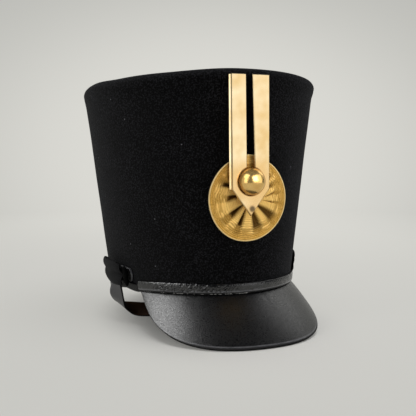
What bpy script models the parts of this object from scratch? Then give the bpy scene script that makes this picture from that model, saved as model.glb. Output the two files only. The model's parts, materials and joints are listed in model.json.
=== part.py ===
"""A black felt shako with a leather visor, standing on a table by itself.

The hat leans back: it rests on the front edge of the visor and on the back
of its rim, and its chin strap hangs below the rim and lies on the table.
Lengths are in metres and angles in radians, unless a name says otherwise.

The hat's own frame has its origin in the middle of the rim, +X to the
wearer's left, -Y to the front and +Z up along the crown.  An empty carries
all that is fixed to the crown and holds the lean.  The strap is laid out in
the table's frame, which is level and has its origin below the rim's middle.
"""
import math

import bmesh
import bpy
from mathutils import Vector

# ---------------------------------------------------------------- driving dimensions
MM = 0.001
GAP = 0.35 * MM                    # clearance between neighbouring pieces

# Crown: an oval rim for a 57 cm head, spreading to a round flat top.
RIM_HALF_LENGTH = 103 * MM
RIM_HALF_WIDTH = 83 * MM
TOP_RADIUS = 108.5 * MM
TOP_FORWARD = 32 * MM              # the top's centre, forward of the rim's centre
CROWN_RISE = 195 * MM              # from the rim's centre up to the top's plane
TOP_SLOPE = math.radians(4.5)      # the flat top falls towards the front
EAR_ARCH = 8.5 * MM                # the rim rises this much over the ears
EAR_STEP = 4.0 * MM                # and this much more just behind the visor's ends
EAR_STEP_FROM = math.radians(64)
EAR_STEP_TO = math.radians(80)
BACK_DIP_FROM = math.radians(146)  # from here round to the back it comes down again
BACK_DIP_TO = math.radians(178)
SHOULDER_RADIUS = 6.5 * MM
FELT = 2.5 * MM
CROWN_SIDES = 64
CROWN_RINGS = (0.0, 0.12, 0.35, 0.65, 0.9)      # heights of the wall's rings, 1 at the top
SHOULDER_STEPS = 4

# Visor: a crescent of stiff leather, drooping from the front of the rim.
VISOR_LENGTH = 56.3 * MM
VISOR_END = 1.5 * MM               # what is left of the length at the two ends
VISOR_REACH = math.radians(62.5)   # how far round the rim it goes on each side
VISOR_DROOP_FRONT = math.radians(41.5)
VISOR_DROOP_SIDE = math.radians(35)
VISOR_CUP = math.radians(6)        # the droop is flatter by this much at the rim
VISOR_SEAM = 0.2 * MM              # its inner edge, below the felt's edge
VISOR_LEATHER = 2.0 * MM
VISOR_COLUMNS = 42
VISOR_ROWS = 5

# Stitched leather band over the visor's seam, and the binding of the rim behind it.
BAND_LOW = 0.8 * MM
BAND_HIGH = 7.8 * MM
BAND_LEATHER = 1.4 * MM
BAND_REACH = math.radians(63.5)
BAND_COLUMNS = 44
BINDING_HIGH = 5.6 * MM
BINDING_HIGH_INSIDE = 4.0 * MM
BINDING_LEATHER = 0.9 * MM
BINDING_START = math.radians(63.9)
BINDING_COLUMNS = 46

# Chin strap.
STRAP_WIDTH = 15 * MM
STRAP_LEATHER = 2.0 * MM
STRAP_STEPS = 4                    # pieces between two rows of the table below

# Side bows: a pleated ribbon loop, a satin knot and a leather tab on each side.
BOW_CLOTH = 1.2 * MM
BOW_COLUMNS = 8                    # faces across the ribbon
BOW_CREASE_WIDTH = 0.17            # of the crease along its middle, as a share
BOW_EDGE_CURL = 0.9 * MM           # how far its two edges bend in
BOW_LOBE_AT = 0.52                 # the middle of a lobe, from the crease to the edge
BOW_LOBE_ROUND = 3.4 * MM          # how far its two lobes stand back from the crease
BOW_LOBE_SHIFT = 2.0 * MM          # the upper lobe's tip is this much further back
BOW_NOTCH = 2.2 * MM               # and the crease this much further forward
BOW_LOBE_REACH_MM = 20             # and the shift starts this far from the loop's end
KNOT_CENTRE = (-34.3 * MM, 11.0 * MM, 4.7 * MM)    # back, lift, proud
KNOT_HALF = (3.9 * MM, 9.0 * MM, 2.1 * MM)
KNOT_WAIST = 0.3                   # how far its middle is drawn in
KNOT_WAIST_HEIGHT = 0.28           # height of the drawn-in stretch, as a share
KNOT_FACES = (20, 12)              # round it and from top to bottom
TAB_START = math.radians(67.8)     # front end of the tab, round from the front
TAB_END = math.radians(77.2)
TAB_LOW = 7.0 * MM
TAB_HIGH = 18.5 * MM
TAB_ROUND = 2.6 * MM
TAB_LEATHER = 1.8 * MM
TAB_ROWS = 6
TAB_COLUMNS = 4

# Cockade: a round of pleated ribbon, flat against the front of the crown.
COCKADE_RADIUS = 35.4 * MM
COCKADE_UP = 80.0 * MM             # its centre, up the crown's front from the rim
COCKADE_CLOTH = 1.1 * MM
PLEAT_DEPTH = 3.2 * MM
RIM_LEVEL = 0.25                   # height of the flat ribbon, as a share of the pleats'
PLEAT_START = 7 * MM               # radius from which the pleats have their full depth
PLEAT_FADE = 20 * MM               # radius from which they get shallower
PLEAT_END = 32 * MM                # and outside which the ribbon lies flat
GATHER_SWINGS_FROM = 20 * MM       # the radius at which a gather has its turn
GATHER_SWINGS_OVER = 10 * MM       # and the distance over which it swings round
GATHER_CLOSES = 7                  # millimetres over which a gather runs out
GATHER_FLOOR = 0.35                # share of its width that is a flat bottom
PUFF = 5 * MM                      # the ribbon puffs up this much between the plate's arms
PUFF_WIDTH = 6.5 * MM
PUFF_FROM = 22 * MM                # above the cockade's centre, where the puff starts
PUFF_TO = 29 * MM
COCKADE_COLUMNS = 72
COCKADE_RINGS = (1.0, 0.83, 0.70, 0.54, 0.34, 0.17, 0.04)     # shares of the radius

# Loop plate of polished brass, and the domed button in its round hole.
PLATE_ASIDE = -2.9 * MM            # both sit this far to the wearer's right
PLATE_UP = 15.4 * MM               # the button's centre above the cockade's
PLATE_FACE = 13.3 * MM             # the plate's face, proud of the crown there
PLATE_LEAN = math.radians(2.6)     # its top leans in to the felt
PLATE_HALF_WIDTH = 16.8 * MM
PLATE_TOP = 86.2 * MM              # from the button's centre up to the arms' ends
PLATE_CORNER = -6.3 * MM
PLATE_POINT = -28.3 * MM
PLATE_SHEET = 1.5 * MM
PLATE_BEVEL = 0.7 * MM
FLANGE_DEEPENING = 1.11            # deeper by this factor at the arms' ends
SLOT_AT_TOP = (-4.2 * MM, 1.5 * MM)        # its two sides at the arms' ends
SLOT_AT_HOLE = (-3.5 * MM, 3.6 * MM)       # and where it meets the hole
HOLE_RADIUS = 11.4 * MM
HOLE_STEPS = 36
BUTTON_RADIUS = 11.0 * MM
BUTTON_CENTRE = 14.9 * MM          # the dome's middle, proud of the crown
BUTTON_BACK = 8.0 * MM             # radius of its flat back
SHANK_RADIUS = 3.5 * MM
SHANK_FOOT = 5.0 * MM              # the shank ends here, just clear of the pleats
BUTTON_ARC_STEPS = 9
BUTTON_TURN_STEPS = 24

# ------------------------------------------------------------------- short tables
# Chin strap, wearer's right half, in the table's frame.  turn is how far the
# strap's width swings from straight back towards outside, rise is how far it
# stands up from level.
STRAP_TABLE = (
    # across_mm, back_mm, height_mm, turn_deg, rise_deg
    (86.1, -12.0, 50.0, 4, -3),
    (86.2, -12.0, 42.0, 5, -3),
    (86.6, -12.1, 38.0, 9, -3),
    (87.2, -12.2, 34.0, 18, -2),
    (87.2, -12.1, 27.0, 31, -2),
    (85.0, -10.1, 20.5, 27, 4),
    (80.6, -5.3, 14.2, 17, 15),
    (73.4, -0.4, 9.9, 3, 25),
    (66.4, 1.5, 7.3, -15, 37),
    (59.7, 0.1, 6.1, -26, 42),
    (50.8, -3.9, 6.1, -27, 43),
    (39.0, -10.3, 6.3, -28, 45),
    (26.5, -18.5, 6.3, -27, 45),
    (13.5, -25.0, 6.3, -17, 45),
    (0.0, -27.5, 6.3, 0, 45),
)

# Ribbon loop of a bow: back from the knot along its face, round its end and
# forward again along the felt.  low and high are its edges' heights over the
# rim, crease is the depth of the fold along its middle.
BOW_TABLE = (
    # back_mm, proud_mm, low_mm, high_mm, crease_mm
    (-30.0, 7.6, 2.4, 20.0, 3.6),
    (-25.5, 8.8, 1.6, 21.0, 2.4),
    (-17.0, 9.3, 1.9, 22.6, 1.2),
    (-8.0, 9.2, 4.2, 24.4, 0.9),
    (-2.5, 8.9, 7.2, 25.9, 0.8),
    (0.0, 8.2, 8.6, 26.5, 0.3),
    (0.0, 6.9, 9.4, 26.5, 0.0),
    (-2.5, 6.2, 9.6, 25.9, 0.0),
    (-8.0, 6.0, 9.4, 24.1, 0.0),
    (-16.0, 6.0, 9.0, 22.3, 0.0),
    (-22.0, 6.0, 8.6, 21.2, 0.0),
)

# Side flange of the plate at its lower end, seen along the arm: in from the
# outer edge and back from the face.  It is waisted and then swells outwards.
FLANGE_PROFILE = (
    # inward_mm, behind_mm
    (0.3, 0.9),
    (1.2, 2.0),
    (0.9, 2.9),
    (-0.4, 4.6),
    (-0.4, 5.4),
    (0.6, 8.0),
    (1.7, 8.0),
    (0.8, 5.4),
    (0.9, 4.8),
    (2.2, 3.0),
    (2.2, 2.0),
    (1.9, 0.9),
)

# Gathers of the cockade, round from the wearer's left: each is a valley between
# two folds of the ribbon.  It closes at its reach, and swing is how far it turns
# for each step further out.
GATHERS = (
    # turn_deg, swing_deg, half_width_deg, depth, reach_mm
    (10, 6, 4.0, 0.65, 28),
    (28, 0, 7.0, 0.55, 29),
    (44, 0, 5.0, 0.65, 31),
    (66, 0, 6.0, 0.60, 28),
    (118, 4, 5.0, 0.60, 28),
    (133, 4, 5.0, 0.60, 30),
    (146, 9, 8.5, 0.95, 31),
    (178, 12, 11.5, 0.90, 23),
    (219, 0, 11.0, 1.00, 25),
    (249, 0, 8.5, 1.00, 28),
    (289, 1, 12.5, 0.85, 31),
    (325, -1, 11.5, 0.85, 32),
    (352, -2, 4.0, 0.70, 26),
)


# ------------------------------------------------------------------ plain helpers
def mix(low, high, share):
    """The value a share of the way from low to high."""
    return low + (high - low) * share


def even_steps(low, high, count):
    """count + 1 evenly spaced values from low to high."""
    return [mix(low, high, i / count) for i in range(count + 1)]


def smooth_through(rows, steps):
    """Rows of numbers on a smooth curve through the table's rows."""
    ends = [[2 * a - b for a, b in zip(rows[0], rows[1])]]
    ends += [list(row) for row in rows]
    ends += [[2 * a - b for a, b in zip(rows[-1], rows[-2])]]
    path = []
    for i in range(1, len(ends) - 2):
        for k in range(steps):
            t = k / steps
            path.append([
                0.5 * (2 * b + (c - a) * t + (2 * a - 5 * b + 4 * c - d) * t ** 2
                       + (3 * b - a - 3 * c + d) * t ** 3)
                for a, b, c, d in zip(*ends[i - 1:i + 3])])
    path.append(list(rows[-1]))
    return path


def ease(value, start, stop):
    """0 before start, 1 after stop, and a smooth step between."""
    share = max(0.0, min(1.0, (value - start) / (stop - start)))
    return share * share * (3 - 2 * share)


def rim_height(angle):
    """Height of the rim's edge, which arches over the ears."""
    turned = math.acos(math.cos(angle))
    step = ease(turned, EAR_STEP_FROM, EAR_STEP_TO) - ease(turned, BACK_DIP_FROM, BACK_DIP_TO)
    return EAR_ARCH * math.sin(angle) ** 2 + EAR_STEP * step


def wall(angle, rise, proud=0.0):
    """A point of the crown's outer wall, in the hat's frame.

    angle goes round from the front to the wearer's left, rise is 0 at the
    rim and 1 at the top, and proud is the distance off the felt.
    """
    half_length = mix(RIM_HALF_LENGTH, TOP_RADIUS, rise)
    half_width = mix(RIM_HALF_WIDTH, TOP_RADIUS, rise)
    side = Vector((math.sin(angle) / half_width, math.cos(angle) / half_length)).normalized()
    across = half_width * math.sin(angle) + proud * side.x
    middle = half_length * math.cos(angle) + TOP_FORWARD * rise
    forward = middle + proud * side.y
    top = CROWN_RISE - math.tan(TOP_SLOPE) * middle
    return Vector((across, -forward, mix(rim_height(angle), top, rise)))


def above_rim(angle, lift, proud=0.0):
    """A point of the wall given by its height over the rim's edge."""
    top = CROWN_RISE - math.tan(TOP_SLOPE) * RIM_HALF_LENGTH * math.cos(angle)
    return wall(angle, lift / (top - rim_height(angle)), proud)


def at_ear(side, back, lift, proud):
    """A point beside the ear: side is +1 for the wearer's left, -1 for the right."""
    angle = side * (math.pi / 2 + back / RIM_HALF_LENGTH)
    return above_rim(angle, lift, proud)


def visor_point(angle, share):
    """A point of the visor's upper face, share 0 at the rim and 1 at its edge."""
    reach = min(abs(angle) / VISOR_REACH, 1.0)
    length = VISOR_END + (VISOR_LENGTH - VISOR_END) * (1 - reach ** 3) ** 1.25
    droop = mix(VISOR_DROOP_FRONT, VISOR_DROOP_SIDE, reach ** 2) + VISOR_CUP * (1 - share)
    start = wall(angle, 0.0, GAP)
    outward = start - wall(angle, 0.0)
    outward.normalize()
    down = Vector((0, 0, -1))
    step = outward * math.sin(droop) + down * math.cos(droop)
    return start + step * (length * share) + down * VISOR_SEAM


# ---------------------------------------------------------------- Blender helpers
def clear_scene():
    for item in list(bpy.data.objects):
        bpy.data.objects.remove(item, do_unlink=True)


def collection(name):
    new = bpy.data.collections.new(name)
    bpy.context.scene.collection.children.link(new)
    return new


def material(name, colour, roughness, metallic=0.0):
    new = bpy.data.materials.new(name)
    new.use_nodes = True
    shader = new.node_tree.nodes["Principled BSDF"]
    shader.inputs["Base Color"].default_value = (*colour, 1.0)
    shader.inputs["Roughness"].default_value = roughness
    shader.inputs["Metallic"].default_value = metallic
    new.diffuse_color = (*colour, 1.0)
    return new


def empty(name, parent=None, location=(0, 0, 0), rotation=(0, 0, 0)):
    new = bpy.data.objects.new(name, None)
    new.location = location
    new.rotation_euler = rotation
    new.parent = parent
    PARTS.objects.link(new)
    return new


def add_object(name, mesh, finish, parent, where=None):
    """A new object for a mesh, smooth on its curves and sharp at its edges."""
    mesh.materials.append(finish)
    mesh.shade_smooth()
    mesh.set_sharp_from_angle(angle=math.radians(40))
    new = bpy.data.objects.new(name, mesh)
    new.parent = parent
    (where or PARTS).objects.link(new)
    return new


def mesh_from(bm, name):
    mesh = bpy.data.meshes.new(name)
    bm.to_mesh(mesh)
    bm.free()
    return mesh


def sheet(rows, round_closed=False, cap=False):
    """A bmesh sheet lofted through rows of points.

    Seen from its outer side the rows go up and each row goes to the right.
    """
    bm = bmesh.new()
    lines = [[bm.verts.new(point) for point in row] for row in rows]
    count = len(rows[0])
    for low, high in zip(lines, lines[1:]):
        for i in range(count if round_closed else count - 1):
            k = (i + 1) % count
            bm.faces.new((low[i], low[k], high[k], high[i]))
    if cap:
        bm.faces.new(lines[-1])
    return bm


def thicken(item, thickness, offset):
    """A wall from a sheet: offset -1 grows inwards, 1 outwards, 0 both ways."""
    solidify = item.modifiers.new("wall", "SOLIDIFY")
    solidify.thickness = thickness
    solidify.offset = offset
    solidify.use_even_offset = True
    return solidify


# ------------------------------------------------------------------------- pieces
def build_crown(parent):
    """One-piece felt shell: flaring wall, rounded shoulder, flat top, open below."""
    round_steps = [2 * math.pi * i / CROWN_SIDES for i in range(CROWN_SIDES)]
    rings = [[wall(angle, rise) for angle in round_steps] for rise in CROWN_RINGS]
    for turn in even_steps(0.0, math.pi / 2, SHOULDER_STEPS):
        inset = SHOULDER_RADIUS * (1 - math.cos(turn))
        drop = SHOULDER_RADIUS * (1 - math.sin(turn))
        rings.append([wall(angle, 1.0, -inset) - Vector((0, 0, drop)) for angle in round_steps])
    level_top(rings[-1])
    bm = sheet(rings, round_closed=True, cap=True)
    crown = add_object("crown", mesh_from(bm, "crown"), FELT_BLACK, parent)
    thicken(crown, FELT, -1)
    return crown


def level_top(ring):
    """Puts the top's ring on its sloping plane, so that the top is flat."""
    for point in ring:
        point.z = CROWN_RISE + math.tan(TOP_SLOPE) * point.y


def build_visor(parent):
    """Leather crescent that hangs off the front of the rim."""
    angles = even_steps(-VISOR_REACH, VISOR_REACH, VISOR_COLUMNS)
    shares = even_steps(1.0, 0.0, VISOR_ROWS)
    bm = sheet([[visor_point(angle, share) for angle in angles] for share in shares])
    visor = add_object("visor", mesh_from(bm, "visor"), LEATHER_BLACK, parent)
    thicken(visor, VISOR_LEATHER, -1)
    return visor


def build_visor_band(parent):
    """Stitched leather strip on the felt, just above the visor."""
    angles = even_steps(-BAND_REACH, BAND_REACH, BAND_COLUMNS)
    lifts = even_steps(BAND_LOW, BAND_HIGH, 2)
    bm = sheet([[above_rim(angle, lift, GAP) for angle in angles] for lift in lifts])
    band = add_object("visor_band", mesh_from(bm, "visor_band"), LEATHER_BLACK, parent)
    thicken(band, BAND_LEATHER, 1)
    return band


def build_rim_binding(parent):
    """Thin leather folded over the rim, from one end of the band round the back."""
    angles = even_steps(BINDING_START, 2 * math.pi - BINDING_START, BINDING_COLUMNS)
    inside = -(FELT + GAP)
    below = Vector((0, 0, -GAP))
    rows = [
        [above_rim(angle, BINDING_HIGH_INSIDE, inside) for angle in angles],
        [above_rim(angle, 0.0, inside) + below for angle in angles],
        [above_rim(angle, 0.0, GAP) + below for angle in angles],
        [above_rim(angle, BINDING_HIGH, GAP) for angle in angles],
    ]
    bm = sheet(rows)
    binding = add_object("rim_binding", mesh_from(bm, "rim_binding"), LEATHER_BLACK, parent)
    thicken(binding, BINDING_LEATHER, 1)
    return binding


def build_bow(name, side, parent):
    """Ribbon loop behind the ear knot, creased along its middle into two lobes."""
    rows = []
    for back, proud, low, high, crease in smooth_through(BOW_TABLE, 2):
        row = []
        for share in even_steps(0.0, 1.0, BOW_COLUMNS):
            fold = math.exp(-((share - 0.5) / BOW_CREASE_WIDTH) ** 2)
            tip = max(0.0, 1 + back / BOW_LOBE_REACH_MM)
            lobe = 1 - ((abs(2 * share - 1) - BOW_LOBE_AT) / BOW_LOBE_AT) ** 2
            round_tip = BOW_LOBE_ROUND * lobe + BOW_LOBE_SHIFT * (share - 0.5) - BOW_NOTCH
            row.append(at_ear(
                side,
                back * MM + tip * round_tip,
                mix(low, high, share) * MM,
                (proud - crease * fold) * MM - BOW_EDGE_CURL * abs(2 * share - 1) ** 5))
        rows.append(row)
    bow = add_object(name, mesh_from(sheet(rows), name), RIBBON_BLACK, parent)
    thicken(bow, BOW_CLOTH, 0)
    return bow


def build_knot(name, side, parent):
    """Satin knot in front of the bow: a cushion drawn in at its middle."""
    bm = bmesh.new()
    bmesh.ops.create_uvsphere(bm, u_segments=KNOT_FACES[0], v_segments=KNOT_FACES[1],
                              radius=1.0)
    for vert in bm.verts:
        pinch = 1 - KNOT_WAIST * math.exp(-(vert.co.z / KNOT_WAIST_HEIGHT) ** 2)
        vert.co = at_ear(
            side,
            KNOT_CENTRE[0] + KNOT_HALF[0] * vert.co.x * pinch,
            KNOT_CENTRE[1] + KNOT_HALF[1] * vert.co.z,
            KNOT_CENTRE[2] + KNOT_HALF[2] * vert.co.y * pinch)
    bm.normal_update()
    bmesh.ops.recalc_face_normals(bm, faces=bm.faces)
    return add_object(name, mesh_from(bm, name), SATIN_BLACK, parent)


def build_tab(name, side, parent):
    """Leather tab flat on the felt, its rounded end in front of the knot."""
    rows = []
    for share in even_steps(0.0, 1.0, TAB_ROWS):
        lift = mix(TAB_LOW, TAB_HIGH, share)
        rounding = TAB_ROUND / RIM_HALF_LENGTH * (2 * share - 1) ** 2
        angles = even_steps(TAB_START + rounding, TAB_END, TAB_COLUMNS)
        rows.append([above_rim(side * angle, lift, GAP) for angle in angles])
    bm = sheet(rows)
    if side < 0:
        bmesh.ops.reverse_faces(bm, faces=bm.faces)
    tab = add_object(name, mesh_from(bm, name), LEATHER_BLACK, parent)
    thicken(tab, TAB_LEATHER, 1)
    return tab


def build_chin_strap(parent):
    """One leather strap from ear to ear, hanging in a loop that lies on the table."""
    right = smooth_through(STRAP_TABLE, STRAP_STEPS)
    stations = [(-across, back, height, turn, rise)
                for across, back, height, turn, rise in right]
    stations += [(across, back, height, -turn, rise)
                 for across, back, height, turn, rise in reversed(right[:-1])]
    front_edge = []
    back_edge = []
    for across, back, height, turn, rise in stations:
        turn = math.radians(turn)
        rise = math.radians(rise)
        width = Vector((-math.sin(turn) * math.cos(rise), math.cos(turn) * math.cos(rise),
                        math.sin(rise)))
        middle = Vector((across, back, height)) * MM
        front_edge.append(middle - width * STRAP_WIDTH / 2)
        back_edge.append(middle + width * STRAP_WIDTH / 2)
    centre = [(a + b) / 2 for a, b in zip(front_edge, back_edge)]
    bm = sheet([front_edge, centre, back_edge])
    strap = add_object("chin_strap", mesh_from(bm, "chin_strap"), LEATHER_STRAP, parent)
    thicken(strap, STRAP_LEATHER, 0)
    return strap


def pleat(angle, radius):
    """0 in the bottom of a gather and 1 on a fold, at this place of the cockade."""
    crest = 1.0
    for turn, swing, half_width, depth, reach in GATHERS:
        centre = turn + swing * (radius - GATHER_SWINGS_FROM) / GATHER_SWINGS_OVER
        off = abs((math.degrees(angle) - centre + 180) % 360 - 180)
        fading = 1 - ease(radius, (reach - GATHER_CLOSES) * MM, reach * MM)
        crest -= depth * fading * (1 - ease(off, GATHER_FLOOR * half_width, half_width))
    return max(0.0, crest)


def build_cockade(parent):
    """Round of ribbon, flat at its rim and pleated towards its centre."""
    def height(angle, radius):
        inner = ease(radius, 0.0, PLEAT_START)
        outer = 1 - ease(radius, PLEAT_FADE, PLEAT_END)
        aside = (radius * math.cos(angle) - PLATE_ASIDE) / PUFF_WIDTH
        puff = PUFF * math.exp(-aside ** 2) * ease(radius * math.sin(angle), PUFF_FROM, PUFF_TO)
        return GAP + PLEAT_DEPTH * mix(RIM_LEVEL, pleat(angle, radius), outer * inner) + puff

    angles = [2 * math.pi * i / COCKADE_COLUMNS for i in range(COCKADE_COLUMNS)]
    rows = []
    for ring in COCKADE_RINGS:
        radius = ring * COCKADE_RADIUS
        rows.append([Vector((radius * math.cos(angle), radius * math.sin(angle),
                             height(angle, radius))) for angle in angles])
    bm = sheet(rows, round_closed=True, cap=True)
    cockade = add_object("cockade", mesh_from(bm, "cockade"), GOLD_RIBBON, parent)
    thicken(cockade, COCKADE_CLOTH, 1)
    return cockade


def plate_outline():
    """The plate's outline, anticlockwise: two arms, a round hole between, a point."""
    start = math.pi / 2 - math.asin(SLOT_AT_HOLE[0] / HOLE_RADIUS)
    stop = 5 * math.pi / 2 - math.asin(SLOT_AT_HOLE[1] / HOLE_RADIUS)
    hole = [(HOLE_RADIUS * math.cos(angle), HOLE_RADIUS * math.sin(angle))
            for angle in even_steps(start, stop, HOLE_STEPS)]
    return ([(-PLATE_HALF_WIDTH, PLATE_TOP), (-PLATE_HALF_WIDTH, PLATE_CORNER),
             (0.0, PLATE_POINT), (PLATE_HALF_WIDTH, PLATE_CORNER),
             (PLATE_HALF_WIDTH, PLATE_TOP), (SLOT_AT_TOP[1], PLATE_TOP)]
            + hole[::-1] + [(SLOT_AT_TOP[0], PLATE_TOP)])


def build_plate(parent):
    """Brass plate with its face at height 0, bevelled, and a flange down each side."""
    bm = bmesh.new()
    face = bm.faces.new([bm.verts.new((x, y, -PLATE_SHEET)) for x, y in plate_outline()])
    grown = bmesh.ops.extrude_face_region(bm, geom=[face])
    front = [item for item in grown["geom"] if isinstance(item, bmesh.types.BMVert)]
    bmesh.ops.translate(bm, verts=front, vec=(0, 0, PLATE_SHEET))
    bmesh.ops.recalc_face_normals(bm, faces=bm.faces)
    rim = [edge for edge in bm.edges if all(abs(vert.co.z) < 1e-7 for vert in edge.verts)]
    bmesh.ops.bevel(bm, geom=rim, offset=PLATE_BEVEL, segments=1, profile=0.5,
                    affect="EDGES", material=-1)
    plate = add_object("cockade_plate", mesh_from(bm, "cockade_plate"), BRASS, parent)
    for side, name in ((-1, "flange_right"), (1, "flange_left")):
        union = plate.modifiers.new(name, "BOOLEAN")
        union.operation = "UNION"
        union.object = build_flange(name, side, parent)
    return plate


def build_flange(name, side, parent):
    """Guide solid: the profile of a side flange, drawn out along the arm."""
    bm = bmesh.new()
    points = [(side * (PLATE_HALF_WIDTH - inward * MM), PLATE_CORNER, -behind * MM)
              for inward, behind in FLANGE_PROFILE]
    face = bm.faces.new([bm.verts.new(point) for point in points])
    grown = bmesh.ops.extrude_face_region(bm, geom=[face])
    far = [item for item in grown["geom"] if isinstance(item, bmesh.types.BMVert)]
    for vert in far:
        vert.co.y = PLATE_TOP
        vert.co.z *= FLANGE_DEEPENING
    bmesh.ops.recalc_face_normals(bm, faces=bm.faces)
    flange = add_object(name, mesh_from(bm, name), BRASS, parent, CUTTERS)
    flange.hide_render = True
    flange.display_type = "WIRE"
    return flange


def build_button(parent):
    """Domed button with a flat back and a short shank, turned about its axis."""
    foot = SHANK_FOOT - BUTTON_CENTRE
    last = math.pi - math.asin(BUTTON_BACK / BUTTON_RADIUS)
    back = BUTTON_RADIUS * math.cos(last)
    profile = [(BUTTON_RADIUS * math.sin(turn), BUTTON_RADIUS * math.cos(turn))
               for turn in even_steps(0.0, last, BUTTON_ARC_STEPS)]
    profile += [(SHANK_RADIUS, back), (SHANK_RADIUS, foot), (0.0, foot)]
    bm = bmesh.new()
    verts = [bm.verts.new((x, 0, z)) for x, z in profile]
    for first, second in zip(verts, verts[1:]):
        bm.edges.new((first, second))
    button = add_object("button", mesh_from(bm, "button"), BRASS, parent)
    turn = button.modifiers.new("turn", "SCREW")
    turn.steps = BUTTON_TURN_STEPS
    turn.render_steps = BUTTON_TURN_STEPS
    turn.use_merge_vertices = True
    turn.merge_threshold = 0.00001
    return button


# ------------------------------------------------------------------ resting pose
def resting_pose():
    """Lean and height of the hat that put the visor and the back rim on the table."""
    thickness = GAP + BINDING_LEATHER
    back = above_rim(math.pi, 0.0, thickness) - Vector((0, 0, thickness))
    edge = visor_point(0.0, 1.0)
    inside = Vector((0, math.cos(VISOR_DROOP_FRONT), -math.sin(VISOR_DROOP_FRONT)))
    front = edge + inside * VISOR_LEATHER
    lean = math.atan((back.z - front.z) / (back.y - front.y))
    lowest = min(point.z * math.cos(lean) - point.y * math.sin(lean) for point in (front, back))
    return lean, -lowest


def centre_on_origin(root):
    """Moves the whole hat so that its bounding box is centred over the origin."""
    bpy.context.view_layer.update()
    depsgraph = bpy.context.evaluated_depsgraph_get()
    corners = []
    for item in PARTS.objects:
        if item.type == "MESH":
            solid = item.evaluated_get(depsgraph)
            corners += [item.matrix_world @ vert.co for vert in solid.data.vertices]
    low = Vector([min(corner[i] for corner in corners) for i in range(3)])
    high = Vector([max(corner[i] for corner in corners) for i in range(3)])
    root.location = (-(low.x + high.x) / 2, -(low.y + high.y) / 2, -low.z)


# --------------------------------------------------------------------- the object
clear_scene()
PARTS = collection("shako")
CUTTERS = collection("cutters")

FELT_BLACK = material("felt_black", (0.010, 0.010, 0.012), 0.95)
LEATHER_BLACK = material("leather_black", (0.018, 0.018, 0.019), 0.38)
LEATHER_STRAP = material("leather_strap", (0.045, 0.044, 0.045), 0.45)
RIBBON_BLACK = material("ribbon_black", (0.022, 0.022, 0.023), 0.80)
SATIN_BLACK = material("satin_black", (0.005, 0.005, 0.005), 0.60)
GOLD_RIBBON = material("gold_ribbon", (0.50, 0.29, 0.06), 0.42, 0.6)
BRASS = material("polished_brass", (0.86, 0.62, 0.29), 0.16, 1.0)

LEAN, RIM_HEIGHT = resting_pose()
FRONT_FLARE = math.atan2(wall(0, 0).y - wall(0, 1).y, wall(0, 1).z - wall(0, 0).z)

TABLE = empty("table_frame")
HAT = empty("hat_frame", TABLE, (0, 0, RIM_HEIGHT), (-LEAN, 0, 0))
FRONT_AXIS = (wall(0, 1) - wall(0, 0)).normalized()
BADGE = empty("badge_frame", HAT, wall(0, 0) + FRONT_AXIS * COCKADE_UP,
              (math.pi / 2 + FRONT_FLARE, 0, 0))
PLATE = empty("plate_frame", BADGE, (PLATE_ASIDE, PLATE_UP, PLATE_FACE), (-PLATE_LEAN, 0, 0))
BUTTON = empty("button_frame", BADGE, (PLATE_ASIDE, PLATE_UP, BUTTON_CENTRE))

build_crown(HAT)
build_visor(HAT)
build_visor_band(HAT)
build_rim_binding(HAT)
for ear, ear_name in ((-1, "right"), (1, "left")):
    build_bow("bow_" + ear_name, ear, HAT)
    build_knot("bow_knot_" + ear_name, ear, HAT)
    build_tab("side_tab_" + ear_name, ear, HAT)
build_chin_strap(TABLE)
build_cockade(BADGE)
build_plate(PLATE)
build_button(BUTTON)
centre_on_origin(TABLE)
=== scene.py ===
# %% [markdown]
# # A black felt shako with a leather visor
#
# This lesson dresses a hat whose solids are already made: a felt crown that
# flares towards its flat top, a drooping visor, a chin strap, ribbon bows at
# the ears and, at the front, a pleated cockade under a brass plate. The solids
# hold the sizes. Here every visible piece is modelled again with finer
# surfaces and gets a finish: wool felt, cowhide, ribbon and brass.
#
# Everything is in metres, +Z up, and the hat stands on the table at z = 0.

# %% Load the frame that everything is built around
import json
import math

import bmesh
import bpy
from mathutils import Matrix, Vector, noise

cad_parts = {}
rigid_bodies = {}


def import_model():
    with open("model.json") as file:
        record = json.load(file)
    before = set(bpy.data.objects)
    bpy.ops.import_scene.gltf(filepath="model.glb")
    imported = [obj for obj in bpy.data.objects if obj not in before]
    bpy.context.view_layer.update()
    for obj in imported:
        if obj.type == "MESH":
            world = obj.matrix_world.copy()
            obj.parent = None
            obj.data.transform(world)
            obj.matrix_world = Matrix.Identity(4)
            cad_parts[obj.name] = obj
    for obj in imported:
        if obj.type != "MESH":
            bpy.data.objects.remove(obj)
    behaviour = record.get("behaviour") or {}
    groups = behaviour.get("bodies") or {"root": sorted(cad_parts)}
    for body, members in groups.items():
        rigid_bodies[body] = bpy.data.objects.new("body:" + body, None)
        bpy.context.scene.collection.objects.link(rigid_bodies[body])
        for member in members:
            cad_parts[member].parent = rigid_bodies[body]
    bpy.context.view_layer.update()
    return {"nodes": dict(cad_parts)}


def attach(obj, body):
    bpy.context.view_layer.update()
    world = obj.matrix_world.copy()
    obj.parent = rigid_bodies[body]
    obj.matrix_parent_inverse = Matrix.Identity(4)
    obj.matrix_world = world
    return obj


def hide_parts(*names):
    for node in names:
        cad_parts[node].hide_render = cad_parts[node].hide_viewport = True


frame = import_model()
MM = 0.001
print("nodes:", ", ".join(sorted(frame["nodes"])))

# %% [markdown]
# ## Seeing it from the photograph's side
#
# A render can only be compared with a photograph when both are taken from the
# same spot. The camera stands to the wearer's right of the front and a little
# below the top, so the crown's front edge is its outline.
# A long lens from two thirds of a metre keeps the flare of the crown honest.
# The camera's three axes are worked out from its yaw and pitch, which says
# more plainly what it does than an aim at an empty would.

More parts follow.
